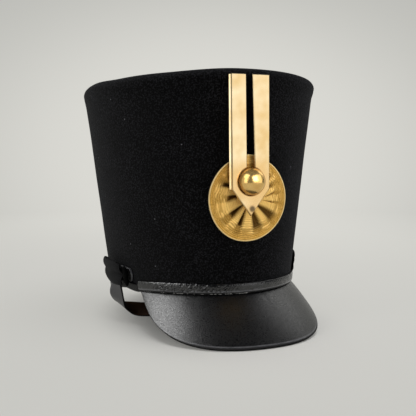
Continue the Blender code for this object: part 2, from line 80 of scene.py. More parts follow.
# %% Camera
FOCAL_PIXELS = 700                  # focal length, in pixels of the picture
PICTURE_PIXELS = 416
SENSOR_MM = 36.0
NEAR_CLIP = 0.01
CAMERA_AT = Vector((-0.2570, -0.6073, 0.1611))
CAMERA_YAW = math.radians(-23.03)
CAMERA_PITCH = math.radians(-5.13)

lens = bpy.data.cameras.new("camera")
lens.sensor_width = SENSOR_MM
lens.lens = FOCAL_PIXELS / PICTURE_PIXELS * SENSOR_MM
lens.clip_start = NEAR_CLIP
camera = bpy.data.objects.new("camera", lens)
bpy.context.scene.collection.objects.link(camera)
forward = Vector((-math.sin(CAMERA_YAW) * math.cos(CAMERA_PITCH),
                  math.cos(CAMERA_YAW) * math.cos(CAMERA_PITCH),
                  math.sin(CAMERA_PITCH)))
right = Vector((math.cos(CAMERA_YAW), math.sin(CAMERA_YAW), 0))
up = right.cross(forward)
turned = Matrix((right, up, -forward)).transposed().to_4x4()
camera.matrix_world = Matrix.Translation(CAMERA_AT) @ turned
bpy.context.scene.camera = camera
print(f"camera: {lens.lens:.1f} mm lens, {CAMERA_AT.length:.2f} m from the hat")

# %% [markdown]
# ## The hatter's block
#
# A hatter shapes felt over a wooden block. Here the block is a function: it
# turns a direction round the head and a height up the crown into a point. The
# rim is an oval for a 57 cm head, the top is round, wider and further forward,
# and every other piece is laid on this wall or hangs from its edge. The same
# formulas shaped the solids, so what is drawn with them lies where they lie.
# The rim rises over the ears and dips again at the very back.

# %% Driving sizes of the hat
GAP = 0.35 * MM                     # left between two pieces that touch
RIM_HALF_LENGTH = 103 * MM
RIM_HALF_WIDTH = 83 * MM
TOP_RADIUS = 108.5 * MM
TOP_FORWARD = 32 * MM               # from the rim's middle to the top's
CROWN_RISE = 195 * MM
TOP_SLOPE = math.radians(4.5)       # the top falls towards the front
EAR_ARCH = 8.5 * MM                 # the rim rises in a long arch over the ears
EAR_STEP = 4.0 * MM                 # and in a step behind the visor's ends
EAR_STEP_FROM = math.radians(64)
EAR_STEP_TO = math.radians(80)
BACK_DIP_FROM = math.radians(146)   # at the back it comes down by the step again
BACK_DIP_TO = math.radians(178)
SHOULDER_RADIUS = 6.5 * MM
FELT = 2.5 * MM                     # thickness of the felt
print(f"rim: {2 * RIM_HALF_LENGTH / MM:.0f} x {2 * RIM_HALF_WIDTH / MM:.0f} mm")


# %% The block's wall
def mix(low, high, share):
    return low + (high - low) * share


def ease(value, start, stop):
    """0 before start, 1 after stop, and a smooth step between."""
    share = max(0.0, min(1.0, (value - start) / (stop - start)))
    return share * share * (3 - 2 * share)


def rim_height(angle):
    turned = math.acos(math.cos(angle))
    step = (ease(turned, EAR_STEP_FROM, EAR_STEP_TO)
            - ease(turned, BACK_DIP_FROM, BACK_DIP_TO))
    return EAR_ARCH * math.sin(angle) ** 2 + EAR_STEP * step


def wall(angle, rise, proud=0.0):
    """A point of the crown's outer wall: angle from the front to the wearer's left."""
    half_length = mix(RIM_HALF_LENGTH, TOP_RADIUS, rise)
    half_width = mix(RIM_HALF_WIDTH, TOP_RADIUS, rise)
    side = Vector((math.sin(angle) / half_width, math.cos(angle) / half_length)).normalized()
    across = half_width * math.sin(angle) + proud * side.x
    middle = half_length * math.cos(angle) + TOP_FORWARD * rise
    top = CROWN_RISE - math.tan(TOP_SLOPE) * middle
    return Vector((across, -(middle + proud * side.y), mix(rim_height(angle), top, rise)))


def above_rim(angle, lift, proud=0.0):
    """A point of the wall given by its height over the rim's edge."""
    top = CROWN_RISE - math.tan(TOP_SLOPE) * RIM_HALF_LENGTH * math.cos(angle)
    return wall(angle, lift / (top - rim_height(angle)), proud)


def at_ear(side, back, lift, proud):
    """A point beside the ear: side is +1 for the wearer's left, -1 for the right."""
    return above_rim(side * (math.pi / 2 + back / RIM_HALF_LENGTH), lift, proud)


print(f"the front is {(wall(0, 1) - wall(0, 0)).length / MM:.0f} mm tall")

# %% [markdown]
# ## Where the hat's frame stands
#
# Off the head the hat leans back onto its rim and its visor. One matrix, from
# the hat's own frame to the table's, carries that lean. The badge on the front
# has a frame of its own, flat against the flaring wall, with its height up the
# crown and its depth off the felt as its second and third axes.

# %% Frames of the table, the hat and its badge
TABLE_ORIGIN = Vector((0, 18.380, 0.015)) * MM   # below the middle of the rim
RIM_HEIGHT = 19.139 * MM            # of that middle, over the table
LEAN = math.radians(9.8909)
COCKADE_UP = 80.0 * MM              # along the front, from the rim's edge

TABLE_FRAME = Matrix.Translation(TABLE_ORIGIN)
HAT_FRAME = (TABLE_FRAME @ Matrix.Translation((0, 0, RIM_HEIGHT))
             @ Matrix.Rotation(-LEAN, 4, "X"))
front_line = wall(0, 1) - wall(0, 0)
front_flare = math.atan2(-front_line.y, front_line.z)
cockade_middle = wall(0, 0) + front_line.normalized() * COCKADE_UP
BADGE_FRAME = (HAT_FRAME @ Matrix.Translation(cockade_middle)
               @ Matrix.Rotation(math.pi / 2 + front_flare, 4, "X"))
print(f"lean {math.degrees(LEAN):.1f} degrees, "
      f"flare of the front {math.degrees(front_flare):.1f} degrees")

# %% [markdown]
# ## Bending a flat grid
#
# Felt, leather and ribbon all start flat. So does each piece here: a grid is
# made flat, gets its UV map while it is still square, and is then bent by a
# function that says where each of its points goes. The UV map keeps the way
# along and across the material, which grain, ribs and stitching can follow.
# A wall is then grown from the sheet with Solidify, so that it has a real
# thickness and a cut edge, and a small Bevel takes the sharpness off the cut.

# %% A bent sheet
MERGE_WITHIN = 0.01 * MM            # points closer than this are one


def bent_sheet(columns, rows, place):
    """A grid whose point (u, v), both from 0 to 1, is moved to place(u, v)."""
    bm = bmesh.new()
    bm.loops.layers.uv.new("UVMap")
    bmesh.ops.create_grid(bm, x_segments=columns, y_segments=rows, size=0.5, calc_uvs=True)
    for vert in bm.verts:
        vert.co = place(vert.co.x + 0.5, vert.co.y + 0.5)
    bmesh.ops.remove_doubles(bm, verts=bm.verts, dist=MERGE_WITHIN)
    return bm


sample = bent_sheet(4, 4, lambda u, v: Vector((u * v, v, 0)))
print("a sheet of 4 x 4 faces whose v = 0 edge closes to a point has", len(sample.verts), "points")
sample.free()


# %% A piece made from a bmesh, and the wall that grows from it
EDGE_SEGMENTS = 2
CUT_ANGLE = math.radians(50)        # only edges that turn by more are rounded


def add_piece(name, bm, frame_matrix, finishes, slot, *nodes):
    """Puts a bmesh into the scene as a finished piece that stands for its nodes."""
    bm.transform(frame_matrix)
    mesh = bpy.data.meshes.new(name)
    bm.to_mesh(mesh)
    bm.free()
    mesh.shade_smooth()
    piece = bpy.data.objects.new(name, mesh)
    bpy.context.scene.collection.objects.link(piece)
    for finish in finishes:
        mesh.materials.append(finish)
    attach(piece, "root")
    if nodes:
        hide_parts(*nodes)
    print(f"{name}: {len(mesh.polygons)} faces")
    return piece


def grow_wall(piece, thickness, offset, edge=0.0):
    """Solidify (offset 1 outwards, -1 inwards, 0 both ways), and then a rounded edge."""
    grown = piece.modifiers.new("wall", "SOLIDIFY")
    grown.thickness = thickness
    grown.offset = offset
    grown.use_even_offset = True
    if edge:
        rounded = piece.modifiers.new("edge", "BEVEL")
        rounded.width = edge
        rounded.segments = EDGE_SEGMENTS
        rounded.limit_method = "ANGLE"
        rounded.angle_limit = CUT_ANGLE
        rounded.harden_normals = False
    return grown


# %% [markdown]
# ## Finishes
#
# Each finish starts from what the stuff really is. A small helper turns sRGB
# hex colours, which is how colours are usually read off a picture, into the
# linear values a shader wants. Another adds any node with its settings and
# links. What is the same all over a surface is set on the shader itself. The
# Mix node's sockets share their names, so they go by number: 0 is the share,
# 6 and 7 are the two colours, and output 2 is the mixed colour.

# %% Helpers for materials
def linear(hex_colour):
    """A linear RGBA colour from an sRGB hex value."""
    channels = [int(hex_colour[i:i + 2], 16) / 255 for i in (1, 3, 5)]
    return tuple(c / 12.92 if c <= 0.04045 else ((c + 0.055) / 1.055) ** 2.4
                 for c in channels) + (1.0,)


def add_node(tree, kind, sockets=None, **settings):
    """Adds a node; sockets gives each input a value or another node's output."""
    new = tree.nodes.new(kind)
    for name, value in settings.items():
        setattr(new, name, value)
    for name, value in (sockets or {}).items():
        if isinstance(value, bpy.types.NodeSocket):
            tree.links.new(value, new.inputs[name])
        else:
            new.inputs[name].default_value = value
    return new


def new_finish(name, **constants):
    """A material with a Principled shader, and that shader's constant values."""
    finish = bpy.data.materials.new(name)
    finish.use_nodes = True
    shader = finish.node_tree.nodes["Principled BSDF"]
    for socket, value in constants.items():
        shader.inputs[socket.replace("_", " ")].default_value = value
    print("finish:", name)
    return finish, finish.node_tree, shader


# %% [markdown]
# ### Wool felt
#
# Felt is wool matted with steam and pressure. It has no weave: only short
# fibres lying every way, which scatter light so that it looks matt, black in
# the face and hazy grey where one looks along it. So its colour varies a
# little in soft clouds, its bump is that of tufts, and a sheen gives the haze.
# Real wool fibres are 0.03 mm thick, too fine for this picture, so what is
# drawn are the tufts that they form, a millimetre or so across. A speck of
# lint clings here and there: a pale spot at the point of a Voronoi cell.

# %% Wool felt
TUFT = 1.3 * MM
CLOUD = 30 * MM
NAP = 0.9 * MM
LINT = 0.7 * MM                     # size of a speck of lint
LINT_STEP = 17 * MM                 # and the usual way from one to the next

FELT_FINISH, tree, shader = new_finish(
    "wool_felt_black", Roughness=1.0, Specular_IOR_Level=0.15, Sheen_Weight=0.045,
    Sheen_Roughness=0.5, Sheen_Tint=linear("#D8DAE8"))
place = add_node(tree, "ShaderNodeTexCoord").outputs["Object"]
clouds = add_node(tree, "ShaderNodeTexNoise",
                  {"Vector": place, "Scale": 1 / CLOUD, "Detail": 2.0, "Roughness": 0.5})
tufts = add_node(tree, "ShaderNodeTexNoise",
                 {"Vector": place, "Scale": 1 / TUFT, "Detail": 3.0, "Roughness": 0.6})
contrast = add_node(tree, "ShaderNodeMapRange",
                    {"Value": tufts.outputs["Fac"], "From Min": 0.48, "From Max": 0.62},
                    interpolation_type="SMOOTHSTEP")
cloudy = add_node(tree, "ShaderNodeMapRange",
                  {"Value": clouds.outputs["Fac"], "From Min": 0.3, "From Max": 0.7,
                   "To Min": 0.55, "To Max": 1.0})
both = add_node(tree, "ShaderNodeMath",
                {0: contrast.outputs["Result"], 1: cloudy.outputs["Result"]},
                operation="MULTIPLY")
tone = add_node(tree, "ShaderNodeMix",
                {0: both.outputs[0], 6: linear("#000000"), 7: linear("#262629")},
                data_type="RGBA")
nap = add_node(tree, "ShaderNodeBump",
               {"Height": tufts.outputs["Fac"], "Strength": 1.0, "Distance": NAP})
specks = add_node(tree, "ShaderNodeTexVoronoi", {"Vector": place, "Scale": 1 / LINT_STEP})
lint = add_node(tree, "ShaderNodeMapRange",
                {"Value": specks.outputs["Distance"], "From Min": 0.5 * LINT / LINT_STEP,
                 "From Max": LINT / LINT_STEP, "To Min": 0.8, "To Max": 0.0})
dusty = add_node(tree, "ShaderNodeMix",
                 {0: lint.outputs["Result"], 6: tone.outputs[2], 7: linear("#84848A")},
                 data_type="RGBA")
tree.links.new(dusty.outputs[2], shader.inputs["Base Color"])
tree.links.new(nap.outputs["Normal"], shader.inputs["Normal"])

# %% [markdown]
# ### Black cowhide
#
# The visor, the band, the binding and the tabs are cowhide, dyed black and
# rubbed to a satin shine. Cowhide has a grain of small closed cells with fine
# creases and pores between them, and broader wrinkles where it was pulled.
# Voronoi cells give the grain, fine noise the pores and coarse noise the
# wrinkles. The pores also vary the roughness, so that the shine breaks up.
# Real cells are 0.2 to 0.5 mm across and would not show from here, so they are
# drawn two or three times as large.
#
# A cut edge is dyed, which leaves it matt, and beside it a grey line is
# painted in, a painted highlight where the rounded edge catches the light. Both
# lie along v = 0 of a piece's UV map, and the painted highlight is fainter where
# the wrinkles dip.

# %% The dyed edge of a hide, and a painted highlight beside it
DYED_ROUGHNESS = 0.95
DYED_FADES = (0.6, 1.2)             # over this part of the dyed width
HIGHLIGHT_PEAK = 0.4                     # where the painted highlight line is lightest, across it
PATCHES = (0.35, 0.6)               # wrinkle heights between which the painted highlight line fades


def dyed_edge_and_highlight(tree, wrinkles, colour, matt, dyed_to, highlight_to, highlight, patchy):
    """The colour and roughness of a hide along the v = 0 edge of its UV map: matt where it is
    dyed, with a painted highlight line beside it.
    """
    inwards = add_node(tree, "ShaderNodeSeparateXYZ",
                       {0: add_node(tree, "ShaderNodeUVMap", uv_map="UVMap").outputs["UV"]})
    line = add_node(tree, "ShaderNodeValToRGB", {"Fac": inwards.outputs["Y"]})
    line.color_ramp.elements[0].position = dyed_to
    line.color_ramp.elements[1].position = highlight_to
    line.color_ramp.elements[1].color = linear("#000000")
    line.color_ramp.elements.new(mix(dyed_to, highlight_to, HIGHLIGHT_PEAK)).color = (1, 1, 1, 1)
    patch = add_node(tree, "ShaderNodeMapRange",
                     {"Value": wrinkles.outputs["Fac"], "From Min": PATCHES[0],
                      "From Max": PATCHES[1], "To Min": 1 - patchy})
    highlight_share = add_node(tree, "ShaderNodeMath",
                          {0: line.outputs["Color"], 1: patch.outputs["Result"]},
                          operation="MULTIPLY")
    highlighted = add_node(tree, "ShaderNodeMix",
                           {0: highlight_share.outputs[0], 6: colour, 7: linear(highlight)},
                           data_type="RGBA")
    dyed = add_node(tree, "ShaderNodeMapRange",
                    {"Value": inwards.outputs["Y"], "From Min": DYED_FADES[0] * dyed_to,
                     "From Max": DYED_FADES[1] * dyed_to, "To Min": DYED_ROUGHNESS,
                     "To Max": 0.0})
    rougher = add_node(tree, "ShaderNodeMath", {0: matt, 1: dyed.outputs["Result"]},
                       operation="MAXIMUM")
    return highlighted.outputs[2], rougher.outputs[0]


# The grey line is a painted highlight.
print(f"a worn line is lightest at {HIGHLIGHT_PEAK:.0%} of its width")

# %% Black cowhide
GRAIN = 1.1 * MM
WRINKLE = 7 * MM


def cowhide(name, colour, pulled_colour, roughness, grain_depth, wrinkle_depth, shine=0.8,
            grain=GRAIN, pore=GRAIN, uneven=0.08, edge_line=None):
    """A hide; edge_line is (dyed_to, highlight_to, colour of the painted highlight, patchy),
    widths as shares of v.
    """
    finish, tree, shader = new_finish(name, Specular_IOR_Level=shine)
    place = add_node(tree, "ShaderNodeTexCoord").outputs["Object"]
    cells = add_node(tree, "ShaderNodeTexVoronoi", {"Vector": place, "Scale": 1 / grain},
                     feature="SMOOTH_F1")
    pores = add_node(tree, "ShaderNodeTexNoise",
                     {"Vector": place, "Scale": 1 / pore, "Detail": 3.0, "Roughness": 0.7})
    wrinkles = add_node(tree, "ShaderNodeTexNoise",
                        {"Vector": place, "Scale": 1 / WRINKLE, "Detail": 5.0, "Roughness": 0.6,
                         "Distortion": 0.6})
    tone = add_node(tree, "ShaderNodeMix",
                    {0: wrinkles.outputs["Fac"], 6: linear(colour), 7: linear(pulled_colour)},
                    data_type="RGBA").outputs[2]
    matt = add_node(tree, "ShaderNodeMapRange",
                    {"Value": pores.outputs["Fac"], "From Min": 0.35, "From Max": 0.65,
                     "To Min": roughness - uneven,
                     "To Max": roughness + uneven}).outputs["Result"]
    relief = add_node(tree, "ShaderNodeBump",
                      {"Height": wrinkles.outputs["Fac"], "Strength": 0.5,
                       "Distance": wrinkle_depth})
    for height in (cells.outputs["Distance"], pores.outputs["Fac"]):
        relief = add_node(tree, "ShaderNodeBump",
                          {"Height": height, "Strength": 0.6, "Distance": grain_depth,
                           "Normal": relief.outputs["Normal"]})
    # a matt dyed edge, and a grey painted highlight line beside it
    if edge_line:
        tone, matt = dyed_edge_and_highlight(tree, wrinkles, tone, matt, *edge_line)
    tree.links.new(tone, shader.inputs["Base Color"])
    tree.links.new(matt, shader.inputs["Roughness"])
    tree.links.new(relief.outputs["Normal"], shader.inputs["Normal"])
    return finish


# %% The hides of this hat
# The visor and the band get a grey painted highlight line along their v = 0 edge.
VISOR_HIDE = cowhide("visor_cowhide", "#030304", "#09090A", 0.36, 0.10 * MM, 0.10 * MM,
                     grain=0.6 * MM, pore=0.85 * MM, uneven=0.16,
                     edge_line=(0.026, 0.056, "#66666A", 0.5))
BINDING_HIDE = cowhide("binding_cowhide", "#020202", "#050505", 0.42, 0.3 * MM, 1.0 * MM,
                       shine=0.22)
SEWN_HIDE = cowhide("sewn_band_cowhide", "#030304", "#09090A", 0.20, 0.3 * MM, 1.2 * MM,
                    edge_line=(0.10, 0.30, "#6E6E72", 0.3))
TAB_HIDE = cowhide("tab_cowhide", "#030303", "#070707", 0.45, 0.2 * MM, 0.5 * MM)
# The tabs' cut edges are painted light grey, a painted highlight along their rims.
TAB_EDGE_HIGHLIGHT = cowhide("tab_edge_painted_highlight", "#4A4A4E", "#6A6A6E", 0.35, 0.1 * MM, 0.3 * MM)
CUT_EDGE = cowhide("cowhide_cut_edge", "#030303", "#060606", 0.8, 0.1 * MM, 0.3 * MM,
                   shine=0.1)
STRAP_FACE = cowhide("strap_cowhide_face", "#343336", "#3F3E41", 0.45, 0.06 * MM, 0.3 * MM)
STRAP_BACK = cowhide("strap_cowhide_flesh_side", "#34200F", "#5C3A1A", 0.7, 0.15 * MM,
                     0.8 * MM, shine=0.3)
print("materials in the scene, with the solids' own:", len(bpy.data.materials))

# %% [markdown]
# ### Black ribbon and satin
#
# The bows are grosgrain, a ribbon with round ribs across it, woven 1 mm apart.
# The ribs follow the ribbon, so they are drawn along its UV map, which runs in
# metres once it is multiplied by the ribbon's length. The knot is satin: flat
# threads that float over each other, so close that only a faint unevenness of
# its deep black is drawn. That black is set darker than the ribbon's and almost
# without shine, so the knot also stands for the shade in the bow's mouth, a
# painted shade.

# %% Grosgrain
WAVE_STEP = math.pi / 10            # spacing of a Wave texture's bands at scale 1
RIB = 0.9625 * MM
BOW_LENGTH = 56 * MM

GROSGRAIN, tree, shader = new_finish(
    "grosgrain_black", Roughness=0.85, Specular_IOR_Level=0.2, Sheen_Weight=0.06,
    Sheen_Roughness=0.4, Sheen_Tint=linear("#C8C8D0"))
along = add_node(tree, "ShaderNodeUVMap", uv_map="UVMap")
ribs = add_node(tree, "ShaderNodeTexWave",
                {"Vector": along.outputs["UV"], "Scale": BOW_LENGTH / RIB * WAVE_STEP,
                 "Distortion": 0.4, "Detail": 1.0},
                wave_type="BANDS", bands_direction="Y", wave_profile="SIN")
fibres = add_node(tree, "ShaderNodeTexNoise",
                  {"Vector": add_node(tree, "ShaderNodeTexCoord").outputs["Object"],
                   "Scale": 1 / TUFT, "Detail": 3.0})
tone = add_node(tree, "ShaderNodeMix",
                {0: fibres.outputs["Fac"], 6: linear("#040405"), 7: linear("#111113")},
                data_type="RGBA")
relief = add_node(tree, "ShaderNodeBump",
                  {"Height": ribs.outputs["Fac"], "Strength": 0.5, "Distance": 0.15 * MM})
tree.links.new(tone.outputs[2], shader.inputs["Base Color"])
tree.links.new(relief.outputs["Normal"], shader.inputs["Normal"])

# %% Satin
FLOAT = 1.0 * MM                    # length over which its sheen wavers

# Partly painted shade: near-black and almost without shine, so the knot reads as the shade in the
# bow's mouth.
SATIN_AND_SHADE, tree, shader = new_finish("satin_black", Roughness=0.6, Specular_IOR_Level=0.03)
threads = add_node(tree, "ShaderNodeTexNoise",
                   {"Vector": add_node(tree, "ShaderNodeTexCoord").outputs["Object"],
                    "Scale": 1 / FLOAT, "Detail": 2.0})
tone = add_node(tree, "ShaderNodeMix",
                {0: threads.outputs["Fac"], 6: linear("#000000"), 7: linear("#020202")},
                data_type="RGBA")
tree.links.new(tone.outputs[2], shader.inputs["Base Color"])

# %% [markdown]
# ### Gold ribbon
#
# The cockade is a ribbon of gold thread: a metal foil wound on a yellow core.
# It shines like metal but softly, because the foil is broken into threads.
# Its finish follows the cockade's own UV map, whose u runs round it and whose
# v runs in from the rim, so that the threads run round the cockade. Real
# threads lie 0.3 mm apart and would melt into one tone, so they are drawn five
# times as coarse.
#
# The finish also reads two values that the mesh carries at every point. One
# says how deep in a gather the point lies: little light gets in there, and the
# finish paints that shade in as dark brown, a painted shade. The other says how
# high it lies on a ripple or a fold, which catch the light along their tops: the
# finish paints those tops lighter and the dips between the ripples darker, a
# painted highlight and shade. The rim, where the ribbon is folded over, is
# painted as a thin bright line, a painted highlight.

# %% Gold ribbon: its threads and its tone
COCKADE_RADIUS = 35.4 * MM
THREAD = 1.5 * MM
MOTTLE = 5 * MM
SPECKLE = 0.8 * MM

GOLD, tree, shader = new_finish("gold_ribbon", Metallic=0.45, Specular_IOR_Level=0.06)
round_and_in = add_node(tree, "ShaderNodeUVMap", uv_map="UVMap").outputs["UV"]
place = add_node(tree, "ShaderNodeTexCoord").outputs["Object"]
threads = add_node(tree, "ShaderNodeTexWave",
                   {"Vector": round_and_in, "Scale": COCKADE_RADIUS / THREAD * WAVE_STEP,
                    "Distortion": 1.6, "Detail": 2.0, "Detail Scale": 1.5},
                   wave_type="BANDS", bands_direction="Y", wave_profile="SIN")
mottle = add_node(tree, "ShaderNodeTexNoise",
                  {"Vector": place, "Scale": 1 / MOTTLE, "Detail": 4.0, "Roughness": 0.6})
speckle = add_node(tree, "ShaderNodeTexNoise",
                   {"Vector": place, "Scale": 1 / SPECKLE, "Detail": 2.0})
tone = add_node(tree, "ShaderNodeValToRGB", {"Fac": mottle.outputs["Fac"]})
for stop, position, colour in zip(tone.color_ramp.elements, (0.3, 0.7), ("#A67726", "#D8A345")):
    stop.position = position
    stop.color = linear(colour)
grain = add_node(tree, "ShaderNodeMapRange",
                 {"Value": speckle.outputs["Fac"], "From Min": 0.35, "From Max": 0.65})
lit = add_node(tree, "ShaderNodeMix",
               {0: grain.outputs["Result"], 6: tone.outputs["Color"], 7: linear("#EFBE62")},
               data_type="RGBA")
line = add_node(tree, "ShaderNodeMapRange",
                {"Value": threads.outputs["Fac"], "To Min": 0.38, "To Max": 0.0})
lined = add_node(tree, "ShaderNodeMix",
                 {0: line.outputs["Result"], 6: lit.outputs[2], 7: linear("#8A5D18")},
                 data_type="RGBA")

# %% Gold ribbon: painted highlights on its ripples and rim, painted shade in its gathers
GATHER_SHADE_FROM, GATHER_SHADE_TO = 0.05, 0.92   # depths in a gather between which the painted shade deepens
RIM_HIGHLIGHT = (0.012, 0.03)            # shares of v over which the painted highlight along the rim ends

# Painted highlight and shade: the tops of ripples, folds and the puff are painted lighter, the
# dips between ripples darker.
ripple = add_node(tree, "ShaderNodeAttribute", attribute_name="ripple").outputs["Fac"]
ripple_light_and_shade = add_node(tree, "ShaderNodeValToRGB", {"Fac": ripple})
for stop, position, colour in zip(ripple_light_and_shade.color_ramp.elements, (0.05, 0.9),
                                  ("#5A3608", "#FFD27A")):
    stop.position = position
    stop.color = linear(colour)
off_level = add_node(tree, "ShaderNodeMath", {0: ripple, 1: 0.5}, operation="SUBTRACT")
strength = add_node(tree, "ShaderNodeMath", {0: off_level.outputs[0]}, operation="ABSOLUTE")
doubled = add_node(tree, "ShaderNodeMath", {0: strength.outputs[0], 1: 2.0},
                   operation="MULTIPLY", use_clamp=True)
ripple_painted = add_node(tree, "ShaderNodeMix",
                  {0: doubled.outputs[0], 6: lined.outputs[2], 7: ripple_light_and_shade.outputs["Color"]},
                  data_type="RGBA")
# Painted shade: the deeper in a gather, the nearer the colour goes to dark brown.
gather_shade = add_node(tree, "ShaderNodeAttribute", attribute_name="gather_shade").outputs["Fac"]
depth = add_node(tree, "ShaderNodeMapRange",
                 {"Value": gather_shade, "From Min": GATHER_SHADE_FROM, "From Max": GATHER_SHADE_TO,
                  "To Max": 0.95})
gather_shaded = add_node(tree, "ShaderNodeMix",
                     {0: depth.outputs["Result"], 6: ripple_painted.outputs[2], 7: linear("#351D03")},
                     data_type="RGBA")
inwards = add_node(tree, "ShaderNodeSeparateXYZ", {0: round_and_in})
# Painted highlight: a bright line along the folded rim.
rim_highlight = add_node(tree, "ShaderNodeMapRange",
                    {"Value": inwards.outputs["Y"], "From Min": RIM_HIGHLIGHT[0],
                     "From Max": RIM_HIGHLIGHT[1], "To Min": 0.7, "To Max": 0.0})
rim_highlighted = add_node(tree, "ShaderNodeMix",
                  {0: rim_highlight.outputs["Result"], 6: gather_shaded.outputs[2], 7: linear("#FFE7AC")},
                  data_type="RGBA")
shine = add_node(tree, "ShaderNodeMapRange",
                 {"Value": speckle.outputs["Fac"], "To Min": 0.32, "To Max": 0.58})
relief = add_node(tree, "ShaderNodeBump",
                  {"Height": threads.outputs["Fac"], "Strength": 0.8, "Distance": 0.3 * MM})
tree.links.new(rim_highlighted.outputs[2], shader.inputs["Base Color"])
tree.links.new(shine.outputs["Result"], shader.inputs["Roughness"])
tree.links.new(relief.outputs["Normal"], shader.inputs["Normal"])
print(f"threads round the cockade: {COCKADE_RADIUS / THREAD:.0f}")

# %% [markdown]
# ### Polished brass
#
# The plate and the button are brass sheet, polished on a wheel and then left
# to age. It is a pale yellow metal, nearly a mirror. The lines of the wheel are
# too fine to show, so only its roughness tells of them. Slow noise gives the
# sheet's slight waves and where it has yellowed, and a second function darkens
# it round a spot; on the plate this paints shade round the hole, a more golden
# tone at the point and a painted dark reflection beside it.

# %% Polished brass
TARNISH_SPOT = 16 * MM
AGED_ROUGHER = 0.05


def brass(name, aged, bright, roughness, waviness, metal=1.0):
    finish, tree, shader = new_finish(name, Metallic=metal)
    place = add_node(tree, "ShaderNodeTexCoord").outputs["Object"]
    spots = add_node(tree, "ShaderNodeTexNoise",
                     {"Vector": place, "Scale": 1 / TARNISH_SPOT, "Detail": 2.0,
                      "Roughness": 0.45})
    tone = add_node(tree, "ShaderNodeValToRGB", {"Fac": spots.outputs["Fac"]})
    for stop, position, colour in zip(tone.color_ramp.elements, (0.25, 0.65), (aged, bright)):
        stop.position = position
        stop.color = linear(colour)
    shine = add_node(tree, "ShaderNodeMapRange",
                     {"Value": spots.outputs["Fac"], "From Min": 0.3, "From Max": 0.7,
                      "To Min": roughness + AGED_ROUGHER, "To Max": roughness})
    waves = add_node(tree, "ShaderNodeBump",
                     {"Height": spots.outputs["Fac"], "Strength": 0.2, "Distance": waviness})
    tree.links.new(tone.outputs["Color"], shader.inputs["Base Color"])
    tree.links.new(shine.outputs["Result"], shader.inputs["Roughness"])
    tree.links.new(waves.outputs["Normal"], shader.inputs["Normal"])
    return finish


def darkening(finish, spot, plain_from, dark_within, colour, most):
    """Darkens a brass round one spot, fully within a distance and less out to another."""
    tree = finish.node_tree
    shader = tree.nodes["Principled BSDF"]
    before = shader.inputs["Base Color"].links[0].from_socket
    away = add_node(tree, "ShaderNodeVectorMath",
                    {0: add_node(tree, "ShaderNodeTexCoord").outputs["Object"], 1: spot},
                    operation="DISTANCE")
    share = add_node(tree, "ShaderNodeMapRange",
                     {"Value": away.outputs["Value"], "From Min": dark_within,
                      "From Max": plain_from, "To Min": most, "To Max": 0.0},
                     interpolation_type="SMOOTHSTEP")
    darker = add_node(tree, "ShaderNodeMix",
                      {0: share.outputs["Result"], 6: before, 7: linear(colour)},
                      data_type="RGBA")
    tree.links.new(darker.outputs[2], shader.inputs["Base Color"])


PLATE_BRASS = brass("plate_brass", "#CFAE76", "#DECAA2", 0.16, 0.08 * MM)
BUTTON_BRASS = brass("button_brass", "#CF9C4A", "#EBC378", 0.22, 0.03 * MM, metal=0.9)
print("materials in the scene, with the solids' own:", len(bpy.data.materials))

# %% [markdown]
# ## The crown
#
# One piece of felt, pulled over the block: a wall, a rounded shoulder and a
# flat top. The grid's first way goes round the head, its second way goes up
# the wall, over the shoulder and in to the middle of the top, where the last
# row closes to a point. Steam and handling leave felt a little uneven, so slow
# noise moves the wall in and out by a third of a millimetre. The shoulder at
# the front, on the wearer's right, has been pressed down by a millimetre or two.
# These two are modelled here alone; the solid's wall and shoulder are even.

# %% Crown
CROWN_COLUMNS = 256
CROWN_ROWS = 80
WALL_SHARE = 0.5                    # of the grid's rows, for the wall
SHOULDER_SHARE = 0.68               # and up to here for the shoulder
SHOULDER_FROM = 0.9                 # the wall starts to give way to it here
UNEVEN = 0.35 * MM
UNEVEN_LENGTH = 45 * MM
UNEVEN_IN = (0.05, 0.3)             # the rim stays even, where the binding grips it
PRESSED_DOWN = 1.7 * MM
PRESSED_IN = (-82, -62)             # degrees from the front, the wearer's right below 0
PRESSED_OUT = (-38, -4)
PRESSED_WALL = 6                    # a high power: low down, the wall doesn't give
PRESSED_TOP = 0.5                   # the top gives as far in as this
TOP_DISH = 1.2 * MM
DISH_WITHIN = 0.8                   # of the way from the shoulder to the middle


def pressed(angle):
    """How far the shoulder is pressed down in this direction."""
    turned = math.degrees(math.atan2(math.sin(angle), math.cos(angle)))
    return PRESSED_DOWN * ease(turned, *PRESSED_IN) * (1 - ease(turned, *PRESSED_OUT))


def crown_place(u, v):
    angle = 2 * math.pi * u
    if v <= WALL_SHARE:
        rise = v / WALL_SHARE
        rough = noise.noise(wall(angle, rise) / UNEVEN_LENGTH) * ease(rise, *UNEVEN_IN)
        point = wall(angle, rise, UNEVEN * rough)
        point.z -= (SHOULDER_RADIUS * ease(rise, SHOULDER_FROM, 1.0)
                    + pressed(angle) * rise ** PRESSED_WALL)
        return point
    turn = math.pi / 2 * min(1.0, (v - WALL_SHARE) / (SHOULDER_SHARE - WALL_SHARE))
    inset = SHOULDER_RADIUS * (1 - math.cos(turn))
    point = wall(angle, 1.0, UNEVEN * noise.noise(wall(angle, 1) / UNEVEN_LENGTH) - inset)
    inwards = max(0.0, (v - SHOULDER_SHARE) / (1 - SHOULDER_SHARE))
    point.x = mix(point.x, 0.0, inwards)
    point.y = mix(point.y, -TOP_FORWARD, inwards)
    drop = (SHOULDER_RADIUS * (1 - math.sin(turn))
            + pressed(angle) * (1 - ease(inwards, 0, PRESSED_TOP)))
    point.z = (CROWN_RISE + math.tan(TOP_SLOPE) * point.y - drop
               - TOP_DISH * ease(inwards, 0.0, DISH_WITHIN))
    return point


crown = add_piece("crown_felt", bent_sheet(CROWN_COLUMNS, CROWN_ROWS, crown_place),
                  HAT_FRAME, [FELT_FINISH], "felt_black", "crown")
grow_wall(crown, FELT, -1)

